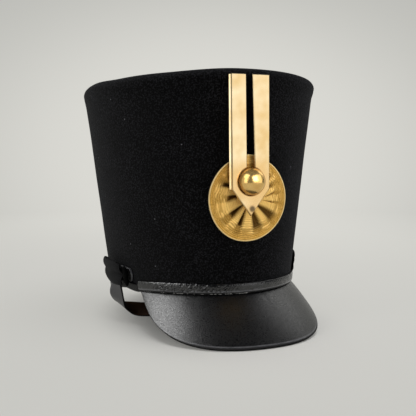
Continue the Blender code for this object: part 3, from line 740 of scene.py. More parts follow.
# %% [markdown]
# ## The visor
#
# A crescent of thick leather that hangs off the front of the rim. It is
# longest at the front and runs out towards its ends. It stands out a little
# more at the front than at the sides, and it steepens towards its edge. Where
# it was sewn on, the leather is drawn into fine creases that fan out from the
# seam. They are real folds in the mesh, so they show from every side.

# %% Shape of the visor
VISOR_LENGTH = 56.3 * MM            # at the front
VISOR_END = 1.5 * MM                # and at its ends
VISOR_REACH = math.radians(62.5)
VISOR_ROUND = (3, 1.25)             # powers that round its outline
VISOR_OUT_FRONT = math.radians(41.5)   # how far it stands out from straight down
VISOR_OUT_SIDE = math.radians(35)
VISOR_CUP = math.radians(6)         # at the seam it stands out more by this
VISOR_SEAM = 0.2 * MM


def visor_point(angle, share):
    reach = min(abs(angle) / VISOR_REACH, 1.0)
    left = (1 - reach ** VISOR_ROUND[0]) ** VISOR_ROUND[1]
    length = VISOR_END + (VISOR_LENGTH - VISOR_END) * left
    out = mix(VISOR_OUT_FRONT, VISOR_OUT_SIDE, reach ** 2) + VISOR_CUP * (1 - share)
    start = wall(angle, 0.0, GAP)
    outward = (start - wall(angle, 0.0)).normalized()
    down = Vector((0, 0, -1))
    step = outward * math.sin(out) + down * math.cos(out)
    return start + step * (length * share) + down * VISOR_SEAM


print(f"visor: {(visor_point(0, 1) - visor_point(0, 0)).length / MM:.1f} mm long at the front")

# %% Visor with its creases
VISOR_LEATHER = 2.0 * MM
CREASE_DEPTH = 0.35 * MM
CREASES = 46                        # this many in a full turn, if they ran all round
CREASE_WANDER = 2.5                 # how far noise shifts them
CREASE_PATCH = 1 / 5                # radians over which they come and go
CREASE_BEND = 1 / 9                 # radians over which they wander
CREASE_REACH = 1 / 4.5              # share of the length on which they fade
CREASE_START = 0.03                 # share of the length on which they begin


def visor_place(u, v):
    angle = mix(-VISOR_REACH, VISOR_REACH, u)
    share = 1 - v
    strength = 0.5 + 0.5 * noise.noise(Vector((angle / CREASE_PATCH, 0.3, 1.7)))
    wander = CREASE_WANDER * noise.noise(Vector((angle / CREASE_BEND, share, 0)))
    crease = 0.5 + 0.5 * math.sin(CREASES * angle + wander)
    fading = math.exp(-(share / CREASE_REACH) ** 1.5) * ease(share, 0, CREASE_START)
    return visor_point(angle, share) - Vector((0, 0, CREASE_DEPTH * strength * crease * fading))


visor = add_piece("visor_leather", bent_sheet(220, 40, visor_place), HAT_FRAME,
                  [VISOR_HIDE, CUT_EDGE], "leather_black", "visor")
wall_of_visor = grow_wall(visor, VISOR_LEATHER, -1, edge=0.45 * MM)
wall_of_visor.material_offset_rim = 1

# %% [markdown]
# ## Band and binding
#
# A narrow strip of soft leather covers the seam over the visor, sewn down
# along both its edges. It is crinkled from having been stretched round the
# curve. Behind its ends a thinner strip is folded over the edge of the felt
# and goes round the back. Both are bent sheets again: the band's height runs
# up the felt, and the binding's second way goes down inside, round the edge
# and up outside.

# %% Visor band
BAND_LOW = 0.8 * MM
BAND_HIGH = 7.8 * MM
BAND_LEATHER = 1.4 * MM
BAND_REACH = math.radians(63.5)
CRINKLE = 1.0 * MM                  # depth of the crinkle
RIDGE_STEP = 2.6 * MM               # width of its ridges
RIDGE_LEAN = 0.4                    # the ridges lean, and are longer than wide
FINE_STEP = 1.2 * MM                # width of the small folds on them
FINE_SHARE = 0.5
SMOOTH_FROM = math.radians(50)      # the band is stretched smooth towards its ends
SMOOTH_TO = math.radians(57)
CALM_SIDE = 0.35                    # and it is less crinkled on the wearer's left
CALM_FROM = math.radians(-24)
CALM_TO = math.radians(4)


def band_place(u, v):
    angle = mix(-BAND_REACH, BAND_REACH, u)
    lift = mix(BAND_LOW, BAND_HIGH, v)
    spot = above_rim(angle, lift)
    leaning = Vector((spot.x - spot.z, spot.y, spot.z * RIDGE_LEAN))
    ridge = 1 - 3 * abs(noise.noise(leaning / RIDGE_STEP))
    rough = ridge + FINE_SHARE * noise.noise(spot / FINE_STEP)
    crinkle = 1 - ease(abs(angle), SMOOTH_FROM, SMOOTH_TO)
    crinkle *= mix(1.0, CALM_SIDE, ease(angle, CALM_FROM, CALM_TO))
    pillow = 1 - (2 * v - 1) ** 4
    return above_rim(angle, lift, GAP + CRINKLE * 0.5 * (rough * crinkle + 1) * pillow)


band = add_piece("visor_band_leather", bent_sheet(520, 18, band_place), HAT_FRAME,
                 [SEWN_HIDE, CUT_EDGE], "leather_black", "visor_band")
grow_wall(band, BAND_LEATHER, 1, edge=0.35 * MM).material_offset_rim = 1

# %% Rim binding
BINDING_HIGH = 5.6 * MM
BINDING_HIGH_INSIDE = 4.0 * MM
BINDING_LEATHER = 0.9 * MM
BINDING_START = math.radians(63.9)
FOLD_FROM = 0.4                     # shares of its width: up to here it is inside,
FOLD_TO = 0.6                       # and from here it is outside


def binding_place(u, v):
    angle = mix(BINDING_START, 2 * math.pi - BINDING_START, u)
    inside = -(FELT + GAP)
    if v < FOLD_FROM:
        point = above_rim(angle, BINDING_HIGH_INSIDE * (1 - v / FOLD_FROM), inside)
    elif v < FOLD_TO:
        turn = math.pi * (v - FOLD_FROM) / (FOLD_TO - FOLD_FROM)
        point = above_rim(angle, 0.0, mix(inside, GAP, 0.5 - 0.5 * math.cos(turn)))
    else:
        point = above_rim(angle, BINDING_HIGH * (v - FOLD_TO) / (1 - FOLD_TO), GAP)
    return point - Vector((0, 0, GAP))


binding = add_piece("rim_binding_leather", bent_sheet(300, 20, binding_place), HAT_FRAME,
                    [BINDING_HIDE, CUT_EDGE], "leather_black", "rim_binding")
grow_wall(binding, BINDING_LEATHER, 1, edge=0.25 * MM).material_offset_rim = 1

# %% [markdown]
# ## Stitches
#
# The band is sewn with black thread in two rows. A stitch is a short length of
# thread that dips into the leather at both ends, here a squashed ball, and
# one function lays a row of them along any edge. All the stitches of a piece
# are one mesh, because a few hundred objects would only slow the scene down.

# %% Rows of stitches
STITCH_STEP = 3.0 * MM
STITCH_HALF = Vector((1.05, 0.28, 0.22)) * MM    # half its length, width and height
SEAM_SAMPLES = 400
SEAM_NUDGE = 0.002                  # a share of the seam, to see which way it runs
THREAD_FINISH = new_finish("waxed_thread", Roughness=0.45, Base_Color=linear("#454446"))[0]


def stitch_row(bm, path, out_of):
    """Lays stitches along path(share); out_of(share) is a point outside it."""
    samples = [path(i / SEAM_SAMPLES) for i in range(SEAM_SAMPLES + 1)]
    length = sum((b - a).length for a, b in zip(samples, samples[1:]))
    count = int(length / STITCH_STEP)
    for i in range(count):
        share = (i + 0.5) / count
        here = path(share)
        along = (path(min(1, share + SEAM_NUDGE))
                 - path(max(0, share - SEAM_NUDGE))).normalized()
        out = (out_of(share) - here).normalized()
        side = out.cross(along).normalized()
        turn = Matrix((along, side, out)).transposed().to_4x4()
        size = Matrix.Diagonal((*STITCH_HALF, 1))
        bmesh.ops.create_uvsphere(bm, u_segments=8, v_segments=6, radius=1.0,
                                  matrix=Matrix.Translation(here) @ turn @ size)
    print(f"{count} stitches on {length / MM:.0f} mm")


# %% Stitches of the band
SEAM_ENDS = (0.012, 0.988)          # shares of the band between which it is sewn
SEAM_LIFTS = (BAND_LOW + 1.3 * MM, BAND_HIGH - 1.2 * MM)
SEAM_PROUD = GAP + BAND_LEATHER + 0.35 * CRINKLE

thread = bmesh.new()
for lift in SEAM_LIFTS:
    def seam(share, off=0.0, lift=lift):
        angle = mix(-BAND_REACH, BAND_REACH, mix(*SEAM_ENDS, share))
        return above_rim(angle, lift, SEAM_PROUD + off)
    stitch_row(thread, seam, lambda share: seam(share, MM))
add_piece("visor_band_stitches", thread, HAT_FRAME, [THREAD_FINISH], "leather_black")

# %% [markdown]
# ## Chin strap
#
# One leather strap hangs from ear to ear. Below the rim it swings forward and
# lies on the table on its edge. Its middle line is a short table of places
# with the way the width points, and a smooth curve is drawn through them: the
# curve passes through each row and is worked out from its neighbours. The
# outside is the smooth grey grain side, the inside the brown flesh side, and
# the cut edges are dyed black, so one strap has three finishes.

# %% Line of the chin strap
STRAP_WIDTH = 15 * MM
STRAP_LEATHER = 2.0 * MM
STRAP_BELLY = 0.12 * MM             # the middle of its width sinks by this much
STRAP_TABLE = (
    # across_mm, back_mm, height_mm, turn_deg, rise_deg
    (86.1, -12.0, 50.0, 4, -3),
    (86.2, -12.0, 42.0, 5, -3),
    (86.6, -12.1, 38.0, 9, -3),
    (87.2, -12.2, 34.0, 18, -2),
    (87.2, -12.1, 27.0, 31, -2),
    (85.0, -10.1, 20.5, 27, 4),
    (80.6, -5.3, 14.2, 17, 15),
    (73.4, -0.4, 9.9, 3, 25),
    (66.4, 1.5, 7.3, -15, 37),
    (59.7, 0.1, 6.1, -26, 42),
    (50.8, -3.9, 6.1, -27, 43),
    (39.0, -10.3, 6.3, -28, 45),
    (26.5, -18.5, 6.3, -27, 45),
    (13.5, -25.0, 6.3, -17, 45),
    (0.0, -27.5, 6.3, 0, 45),
)


def smooth_rows(rows, share):
    """The row at a share of the way along a smooth curve through the table."""
    ends = [[2 * a - b for a, b in zip(rows[0], rows[1])]]
    ends += [list(row) for row in rows]
    ends += [[2 * a - b for a, b in zip(rows[-1], rows[-2])]]
    spot = share * (len(rows) - 1)
    i = min(int(spot), len(rows) - 2)
    t = spot - i
    return [0.5 * (2 * b + (c - a) * t + (2 * a - 5 * b + 4 * c - d) * t ** 2
                   + (3 * b - a - 3 * c + d) * t ** 3)
            for a, b, c, d in zip(*ends[i:i + 4])]


halfway = smooth_rows(STRAP_TABLE, 0.5)
print(f"halfway down, the strap is {halfway[0]:.0f} mm aside and {halfway[2]:.0f} mm up")


# %% Chin strap
def strap_place(u, v):
    side = -1 if u < 0.5 else 1
    across, back, height, turn, rise = smooth_rows(STRAP_TABLE, 1 - abs(2 * u - 1))
    turn = -side * math.radians(turn)
    rise = math.radians(rise)
    width = Vector((-math.sin(turn) * math.cos(rise), math.cos(turn) * math.cos(rise),
                    math.sin(rise)))
    middle = Vector((side * across, back, height)) * MM
    belly = STRAP_BELLY * (1 - (2 * v - 1) ** 2)
    return middle + width * STRAP_WIDTH * (v - 0.5) - Vector((0, 0, belly))


strap = add_piece("chin_strap_leather", bent_sheet(420, 12, strap_place), TABLE_FRAME,
                  [STRAP_BACK, STRAP_FACE, CUT_EDGE], "leather_strap", "chin_strap")
wall_of_strap = grow_wall(strap, STRAP_LEATHER, 0, edge=0.4 * MM)
wall_of_strap.material_offset = 1
wall_of_strap.material_offset_rim = 2

# %% [markdown]
# ## Bows, knots and tabs
#
# Each ear has a bow: a loop of ribbon whose middle is drawn in, so that its
# back end opens into two lobes. It runs back from the knot, round, and forward
# again against the felt. In front of it a satin knot sits in the bow's mouth,
# and a leather tab lies flat on the felt before that. Left and right are mirror
# images, so one function makes both.

# %% Shape of a bow
BOW_CLOTH = 1.2 * MM
BOW_CREASE_WIDTH = 0.17             # share of the ribbon's width
BOW_EDGE_CURL = 0.9 * MM
BOW_CURL_POWER = 5                  # only the very edges curl
BOW_LOBE_AT = 0.52                  # where a lobe is longest, from the middle to an edge
BOW_LOBE_ROUND = 3.4 * MM
BOW_LOBE_SHIFT = 2.0 * MM           # its upper edge reaches back more by this
BOW_NOTCH = 2.2 * MM                # depth of the notch between the lobes
BOW_LOBE_REACH_MM = 20              # this far from its back end the lobes begin
BOW_TABLE = (
    # back_mm, proud_mm, low_mm, high_mm, crease_mm
    (-30.0, 7.6, 2.4, 20.0, 3.6),
    (-25.5, 8.8, 1.6, 21.0, 2.4),
    (-17.0, 9.3, 1.9, 22.6, 1.2),
    (-8.0, 9.2, 4.2, 24.4, 0.9),
    (-2.5, 8.9, 7.2, 25.9, 0.8),
    (0.0, 8.2, 8.6, 26.5, 0.3),
    (0.0, 6.9, 9.4, 26.5, 0.0),
    (-2.5, 6.2, 9.6, 25.9, 0.0),
    (-8.0, 6.0, 9.4, 24.1, 0.0),
    (-16.0, 6.0, 9.0, 22.3, 0.0),
    (-22.0, 6.0, 8.6, 21.2, 0.0),
)


def bow_place(side):
    def place(u, v):
        share = u if side > 0 else 1 - u
        back, proud, low, high, crease = smooth_rows(BOW_TABLE, v)
        fold = math.exp(-((share - 0.5) / BOW_CREASE_WIDTH) ** 2)
        tip = max(0.0, 1 + back / BOW_LOBE_REACH_MM)
        off_middle = abs(2 * share - 1)
        lobe = 1 - ((off_middle - BOW_LOBE_AT) / BOW_LOBE_AT) ** 2
        round_tip = BOW_LOBE_ROUND * lobe + BOW_LOBE_SHIFT * (share - 0.5) - BOW_NOTCH
        curl = BOW_EDGE_CURL * off_middle ** BOW_CURL_POWER
        return at_ear(side, back * MM + tip * round_tip, mix(low, high, share) * MM,
                      (proud - crease * fold) * MM - curl)
    return place


print(f"a bow reaches {-min(row[0] for row in BOW_TABLE):.0f} mm in front of the ear")

# %% Bows, knots and tabs
KNOT_CENTRE = (-34.3 * MM, 11.0 * MM, 4.7 * MM)  # back from the ear, up, off the felt
KNOT_HALF = (3.9 * MM, 9.0 * MM, 2.1 * MM)
KNOT_WAIST = 0.3                    # how much the ribbon is drawn in at its middle
KNOT_WAIST_HEIGHT = 0.28
KNOT_GATHER = 0.06                  # depth of its gathers
KNOT_GATHERS = 11                   # this many round it
KNOT_TWIST = 2
TAB_START = math.radians(67.8)
TAB_END = math.radians(77.2)
TAB_LOW = 7.0 * MM
TAB_HIGH = 18.5 * MM
TAB_ROUND = 2.6 * MM
TAB_LEATHER = 1.8 * MM


def pieces_of_ear(side, ear):
    bow = add_piece("bow_ribbon_" + ear, bent_sheet(28, 80, bow_place(side)), HAT_FRAME,
                    [GROSGRAIN], "ribbon_black", "bow_" + ear)
    grow_wall(bow, BOW_CLOTH, 0, edge=0.3 * MM)

    knot = bmesh.new()
    bmesh.ops.create_uvsphere(knot, u_segments=64, v_segments=40, radius=1.0)
    for vert in knot.verts:
        pinch = 1 - KNOT_WAIST * math.exp(-(vert.co.z / KNOT_WAIST_HEIGHT) ** 2)
        turned = math.atan2(vert.co.y, vert.co.x)
        wave = math.sin(KNOT_GATHERS * turned + KNOT_TWIST * vert.co.z)
        gather = 1 + KNOT_GATHER * wave * (1 - vert.co.z ** 2)
        vert.co = at_ear(side, KNOT_CENTRE[0] + KNOT_HALF[0] * vert.co.x * pinch * gather,
                         KNOT_CENTRE[1] + KNOT_HALF[1] * vert.co.z,
                         KNOT_CENTRE[2] + KNOT_HALF[2] * vert.co.y * pinch * gather)
    knot.normal_update()
    bmesh.ops.recalc_face_normals(knot, faces=knot.faces)
    add_piece("bow_knot_satin_" + ear, knot, HAT_FRAME, [SATIN_AND_SHADE], "satin_black",
              "bow_knot_" + ear)

    def tab_place(u, v):
        share = u if side > 0 else 1 - u
        rounding = TAB_ROUND / RIM_HALF_LENGTH * (2 * v - 1) ** 2
        angle = mix(TAB_START + rounding, TAB_END, share)
        return above_rim(side * angle, mix(TAB_LOW, TAB_HIGH, v), GAP)

    tab = add_piece("side_tab_leather_" + ear, bent_sheet(24, 20, tab_place), HAT_FRAME,
                    [TAB_HIDE, TAB_EDGE_HIGHLIGHT], "leather_black", "side_tab_" + ear)
    grow_wall(tab, TAB_LEATHER, 1, edge=0.4 * MM).material_offset_rim = 1


for ear_side, ear_name in ((-1, "right"), (1, "left")):
    pieces_of_ear(ear_side, ear_name)

# %% [markdown]
# ## Cockade
#
# A round of gold ribbon, gathered to its centre. Near the centre the gathers
# are deep and narrow; further out they open and the ribbon lies flat, with
# faint ripples that run round it where the cloth was eased in. No two gathers
# are alike, and even spacing or noise would look wrong at once, so a short
# table charts them: where each lies, how it swings round on its way out, how
# wide and deep it is and where it runs out. The height is a function of the
# angle and the radius, and the grid is bent into a disc over it. Between the
# plate's arms nothing holds the ribbon down, so there it puffs up.

# %% The cockade's gathers
GATHERS = (
    # turn_deg, swing_deg, half_width_deg, depth, reach_mm
    (10, 6, 4.0, 0.65, 28),
    (28, 0, 7.0, 0.55, 29),
    (44, 0, 5.0, 0.65, 31),
    (66, 0, 6.0, 0.60, 28),
    (118, 4, 5.0, 0.60, 28),
    (133, 4, 5.0, 0.60, 30),
    (146, 9, 8.5, 0.95, 31),
    (178, 12, 11.5, 0.90, 23),
    (219, 0, 11.0, 1.00, 25),
    (249, 0, 8.5, 1.00, 28),
    (289, 1, 12.5, 0.85, 31),
    (325, -1, 11.5, 0.85, 32),
    (352, -2, 4.0, 0.70, 26),
)
GATHER_SWINGS_FROM = 20 * MM        # the radius at which a gather has its turn
GATHER_SWINGS_OVER = 10 * MM        # and the distance over which it swings round
GATHER_CLOSES = 7                   # millimetres over which a gather runs out
GATHER_FLOOR = 0.35                 # share of its width that is a flat bottom
PLEAT_START = 6 * MM                # from the centre to here the pleats deepen
PLEAT_FADE = 20 * MM                # and from here to PLEAT_END they flatten out
PLEAT_END = 32 * MM


def pleat(angle, radius, spread=1.0):
    """0 in the bottom of a gather and 1 on a fold; spread makes the gathers wider."""
    crest = 1.0
    for turn, swing, half_width, depth, reach in GATHERS:
        centre = turn + swing * (radius - GATHER_SWINGS_FROM) / GATHER_SWINGS_OVER
        off = abs((math.degrees(angle) - centre + 180) % 360 - 180)
        inside = 1 - ease(off, GATHER_FLOOR * half_width, spread * half_width)
        fading = 1 - ease(radius, (reach - GATHER_CLOSES) * MM, reach * MM)
        crest -= depth * fading * inside
    return max(0.0, crest)


def pleat_strength(radius):
    """How deep the pleats are here, from 0 at the centre and at the rim to 1."""
    return ease(radius, 0.0, PLEAT_START) * (1 - ease(radius, PLEAT_FADE, PLEAT_END))


print(len(GATHERS), "gathers")

# %% The cockade's puff and ripples
PLATE_ASIDE = -2.9 * MM             # the plate sits off the cockade's middle by this
PUFF = 5 * MM
PUFF_WIDTH = 6.5 * MM
PUFF_FROM = 22 * MM
PUFF_TO = 29 * MM
RIPPLE_STEP = 2.1 * MM
RIPPLE_PULL = 1.6 * MM              # a gather draws the ripples in by this much
RIPPLES_IN = (19 * MM, 23 * MM)     # radii over which the ripples set in
RIPPLES_OUT = (29 * MM, 33 * MM)    # and over which they end
RIPPLE_PATCH = 9 * MM               # they come and go in patches of this length
PATCH_TURN = 3.6                    # and about this many to a radian
PATCH_LEVELS = (-0.25, 0.3)         # of the noise, from faint to full
PULL_TURN = 4                       # the pull changes about as often
RIPPLE_FAINTEST = 0.12
RIPPLE_IN_GATHER = 0.45


def way_from(angle, level=0.0):
    """A place on the unit circle, for noise that closes where the circle does."""
    return Vector((math.cos(angle), math.sin(angle), level))


def puff_share(angle, radius):
    """1 where the ribbon puffs up between the plate's arms, and 0 elsewhere."""
    aside = (radius * math.cos(angle) - PLATE_ASIDE) / PUFF_WIDTH
    return math.exp(-aside ** 2) * ease(radius * math.sin(angle), PUFF_FROM, PUFF_TO)


def ripple(angle, radius):
    """The ripples that run round the ribbon outside the gathers, from -1 to 1."""
    inner_pleat = pleat(angle, min(radius, PLEAT_FADE))
    pull = RIPPLE_PULL * (inner_pleat + noise.noise(PULL_TURN * way_from(angle)))
    wave = math.sin(2 * math.pi * (radius + pull) / RIPPLE_STEP)
    patch = ease(noise.noise(PATCH_TURN * way_from(angle, radius / RIPPLE_PATCH)),
                 *PATCH_LEVELS)
    reach = ease(radius, *RIPPLES_IN) * (1 - ease(radius, *RIPPLES_OUT))
    on_fold = mix(RIPPLE_IN_GATHER, 1.0, inner_pleat)
    return wave * mix(RIPPLE_FAINTEST, 1.0, patch) * on_fold * reach


print(f"about {(RIPPLES_OUT[1] - RIPPLES_IN[0]) / RIPPLE_STEP:.0f} ripples outside the gathers")

# %% The cockade's shape
COCKADE_CLOTH = 1.1 * MM
PLEAT_DEPTH = 3.4 * MM
RIM_LEVEL = 0.32                    # height of the flat rim, as a share of that depth
RIPPLE = 0.4 * MM
PUFF_RISE = 1.6 * MM                # the puff also reaches up past the round rim
RIM_WAVE = 0.012                    # share by which the rim wavers in and out
RIM_TURN = 1.5                      # slowly: this many times to a radian
RIM_LAYER = 4                       # of the noise, away from the ripples' part


def cockade_place(u, v):
    angle = 2 * math.pi * u
    radius = COCKADE_RADIUS * (1 - v)
    wave = 1 + RIM_WAVE * noise.noise(RIM_TURN * way_from(angle, RIM_LAYER))
    puff = puff_share(angle, radius)
    fold = mix(RIM_LEVEL, pleat(angle, radius), pleat_strength(radius))
    return Vector((radius * wave * math.cos(angle),
                   radius * wave * math.sin(angle) + PUFF_RISE * puff,
                   GAP + PLEAT_DEPTH * fold + RIPPLE * ripple(angle, radius) + PUFF * puff))


print(f"the puff stands {cockade_place(0.25, 0.15).z / MM:.1f} mm off the felt")

# %% Marks for the cockade's painted shade and highlights, and the cockade
FOLD_GLINT = 0.42                   # how much lighter the tops of the folds are painted, a painted highlight
FOLD_GLINT_SPAN = 0.25              # and this share of it out to the rim
# the puff between the plate's arms is painted lighter, a painted highlight where the arms shade it
PUFF_GLINT = 0.22
SHADE_SPREAD = 1.35                 # the shade in a gather is wider than its floor
STREAK = 0.42                       # a gather still shows as a shade beyond its end
STREAK_FADES = (26 * MM, 36 * MM)


def mark_relief(bm):
    """Notes for the finish how deep in a gather, and how high on a ripple, a fold or the puff, a
    point lies: from these it paints shade and highlights.
    """
    gather_shade = bm.verts.layers.float.new("gather_shade")
    crest = bm.verts.layers.float.new("ripple")
    for vert in bm.verts:
        angle = math.atan2(vert.co.y, vert.co.x)
        radius = vert.co.xy.length
        inner_pleat = pleat(angle, min(radius, PLEAT_FADE))
        shaded = 1 - pleat(angle, radius, SHADE_SPREAD)
        vert[gather_shade] = max(shaded * ease(radius, 0.0, PLEAT_START),
                           STREAK * (1 - inner_pleat) * (1 - ease(radius, *STREAK_FADES)))
        # the ripple value carries painted highlights on the ripples, the folds and the puff
        glint = FOLD_GLINT * max(pleat_strength(radius), FOLD_GLINT_SPAN)
        vert[crest] = (0.5 + 0.5 * ripple(angle, radius)
                       + glint * min(pleat(angle, radius), inner_pleat) ** 2
                       + PUFF_GLINT * puff_share(angle, radius))
    return bm


cockade = add_piece("cockade_gold_ribbon", mark_relief(bent_sheet(380, 92, cockade_place)),
                    BADGE_FRAME, [GOLD], "gold_ribbon", "cockade")
grow_wall(cockade, COCKADE_CLOTH, 1, edge=0.3 * MM)

# %% [markdown]
# ## Brass plate
#
# The plate is cut from sheet: two arms with a slot between them, a round hole
# for the button and a point below. Its outline is drawn once, filled, given
# its thickness by extruding it, and bevelled along its front edge, where the
# polished bevel catches the light. Each side has a flange that runs back to
# the felt; it is a profile drawn out along the arm. It is deeper at the top,
# where it reaches the felt itself, than at the bottom, where the cockade lies
# between. The brass is painted darker round the hole, a painted shade, and
# darker still at the hole's edge, where the gap lies in shade. It is more golden
# at the point, which has a painted dark reflection on it.

# %% Outline of the plate
PLATE_UP = 15.4 * MM                # of the hole's middle, over the cockade's
PLATE_FACE = 13.3 * MM              # of the plate's front, off the felt
PLATE_LEAN = math.radians(2.6)
PLATE_HALF_WIDTH = 16.8 * MM
PLATE_TOP = 86.2 * MM
PLATE_CORNER = -6.3 * MM
PLATE_POINT = -28.3 * MM
PLATE_SHEET = 1.5 * MM
PLATE_BEVEL = 0.7 * MM
PLATE_SHARP = math.radians(28)      # edges that turn by more stay crisp
SLOT_AT_TOP = (-4.2 * MM, 1.5 * MM)
SLOT_AT_HOLE = (-3.5 * MM, 3.6 * MM)
HOLE_RADIUS = 11.4 * MM
HOLE_STEPS = 96
PLATE_FRAME = (BADGE_FRAME @ Matrix.Translation((PLATE_ASIDE, PLATE_UP, PLATE_FACE))
               @ Matrix.Rotation(-PLATE_LEAN, 4, "X"))

arc_start = math.pi / 2 - math.asin(SLOT_AT_HOLE[0] / HOLE_RADIUS)
arc_stop = 5 * math.pi / 2 - math.asin(SLOT_AT_HOLE[1] / HOLE_RADIUS)
outline = [(-PLATE_HALF_WIDTH, PLATE_TOP), (-PLATE_HALF_WIDTH, PLATE_CORNER),
           (0.0, PLATE_POINT), (PLATE_HALF_WIDTH, PLATE_CORNER),
           (PLATE_HALF_WIDTH, PLATE_TOP), (SLOT_AT_TOP[1], PLATE_TOP)]
for i in range(HOLE_STEPS, -1, -1):
    turn = mix(arc_start, arc_stop, i / HOLE_STEPS)
    outline.append((HOLE_RADIUS * math.cos(turn), HOLE_RADIUS * math.sin(turn)))
outline.append((SLOT_AT_TOP[0], PLATE_TOP))
print(f"plate: {2 * PLATE_HALF_WIDTH / MM:.1f} x {(PLATE_TOP - PLATE_POINT) / MM:.1f} mm")

# %% Brass plate
FACE_LEVEL = 1e-7                   # points nearer to the front than this are on it

plate = bmesh.new()
face = plate.faces.new([plate.verts.new((x, y, -PLATE_SHEET)) for x, y in outline])
grown = bmesh.ops.extrude_face_region(plate, geom=[face])
front = [item for item in grown["geom"] if isinstance(item, bmesh.types.BMVert)]
bmesh.ops.translate(plate, verts=front, vec=(0, 0, PLATE_SHEET))
bmesh.ops.recalc_face_normals(plate, faces=plate.faces)
edges = [edge for edge in plate.edges
         if all(abs(vert.co.z) < FACE_LEVEL for vert in edge.verts)]
bmesh.ops.bevel(plate, geom=edges, offset=PLATE_BEVEL, segments=3, profile=0.5,
                affect="EDGES", material=-1)
plate_piece = add_piece("cockade_plate_brass", plate, PLATE_FRAME, [PLATE_BRASS],
                        "polished_brass", "cockade_plate")
plate_piece.data.set_sharp_from_angle(angle=PLATE_SHARP)
for polygon in plate_piece.data.polygons:
    if len(polygon.vertices) > 4:
        polygon.use_smooth = False

# %% Painted shade round the hole and a painted reflection at the point of the plate
DARKENED_SPOTS = (
    # right_mm and up_mm of the hole, seen from the front,
    # plain_from_mm, dark_within_mm, colour, most
    # painted shade round the hole
    (0.0, 0.0, 24, 11, "#D0AA6E", 0.75),
    # painted shade in the gap at the hole's very edge
    (0.0, 0.0, 13.0, 11.7, "#7A5220", 0.75),
    # more golden towards the point
    (0.5, -26, 14, 3, "#CFA564", 0.7),
    # a painted dark reflection near the point
    (1.0, -22.4, 3.8, 1.2, "#40372A", 0.85),
)
for right_mm, up_mm, plain_mm, dark_mm, colour, most in DARKENED_SPOTS:
    darkening(PLATE_BRASS, PLATE_FRAME @ (Vector((right_mm, up_mm, 0)) * MM), plain_mm * MM,
            dark_mm * MM, colour, most)
# The spots are painted shade round the hole, a more golden tone at the point and a painted
# reflection there.
print(len(DARKENED_SPOTS), "spots of tarnish")

# %% Flanges of the plate
FLANGE_SHORT = 0.3 * MM             # a flange ends this much below the plate's top
FLANGE_DEEPENING = 1.11
FLANGE_SHARP = math.radians(20)
FLANGE_PROFILE = (
    # inward_mm, behind_mm
    (0.3, 0.9),
    (1.2, 2.0),
    (0.9, 2.9),
    (-0.4, 4.6),
    (-0.4, 5.4),
    (0.6, 8.0),
    (1.7, 8.0),
    (0.8, 5.4),
    (0.9, 4.8),
    (2.2, 3.0),
    (2.2, 2.0),
    (1.9, 0.9),
)
for side, side_name in ((-1, "right"), (1, "left")):
    flange = bmesh.new()
    points = [(side * (PLATE_HALF_WIDTH - inward * MM), PLATE_CORNER, -behind * MM)
              for inward, behind in FLANGE_PROFILE]
    face = flange.faces.new([flange.verts.new(point) for point in points])
    grown = bmesh.ops.extrude_face_region(flange, geom=[face])
    for vert in grown["geom"]:
        if isinstance(vert, bmesh.types.BMVert):
            vert.co.y = PLATE_TOP - FLANGE_SHORT
            vert.co.z *= FLANGE_DEEPENING
    bmesh.ops.recalc_face_normals(flange, faces=flange.faces)
    flange_piece = add_piece("plate_flange_brass_" + side_name, flange, PLATE_FRAME,
                             [PLATE_BRASS], "polished_brass", "cockade_plate")
    flange_piece.data.set_sharp_from_angle(angle=FLANGE_SHARP)

# %% [markdown]
# ## Domed button
#
# A dome on a short shank, made on a lathe. A turned shape is a profile spun
# about its axis: most of a circle, a flat back and the shank's line, drawn as
# a few edges and carried round by the spin operator, which merges the last
# step with the first.

# %% Button
BUTTON_RADIUS = 11.0 * MM
BUTTON_CENTRE = 14.9 * MM           # off the felt
BUTTON_BACK = 8.0 * MM              # radius of the flat back
SHANK_RADIUS = 3.5 * MM
SHANK_FOOT = 5.0 * MM               # off the felt
BUTTON_ARC = 36                     # steps of the dome's profile
BUTTON_TURNS = 72                   # and steps round it
BUTTON_SHARP = math.radians(50)
LATHE_MERGE = 0.001 * MM
BUTTON_FRAME = BADGE_FRAME @ Matrix.Translation((PLATE_ASIDE, PLATE_UP, BUTTON_CENTRE))

button = bmesh.new()
last_turn = math.pi - math.asin(BUTTON_BACK / BUTTON_RADIUS)
profile = [(BUTTON_RADIUS * math.sin(last_turn * i / BUTTON_ARC),
            BUTTON_RADIUS * math.cos(last_turn * i / BUTTON_ARC))
           for i in range(BUTTON_ARC + 1)]
profile += [(SHANK_RADIUS, profile[-1][1]), (SHANK_RADIUS, SHANK_FOOT - BUTTON_CENTRE),
            (0.0, SHANK_FOOT - BUTTON_CENTRE)]
verts = [button.verts.new((x, 0, z)) for x, z in profile]
edges = [button.edges.new(pair) for pair in zip(verts, verts[1:])]
bmesh.ops.spin(button, geom=verts + edges, cent=(0, 0, 0), axis=(0, 0, 1),
               angle=2 * math.pi, steps=BUTTON_TURNS, use_merge=True)
bmesh.ops.remove_doubles(button, verts=button.verts, dist=LATHE_MERGE)
bmesh.ops.recalc_face_normals(button, faces=button.faces)
button_piece = add_piece("button_brass", button, BUTTON_FRAME, [BUTTON_BRASS],
                         "polished_brass", "button")
button_piece.data.set_sharp_from_angle(angle=BUTTON_SHARP)

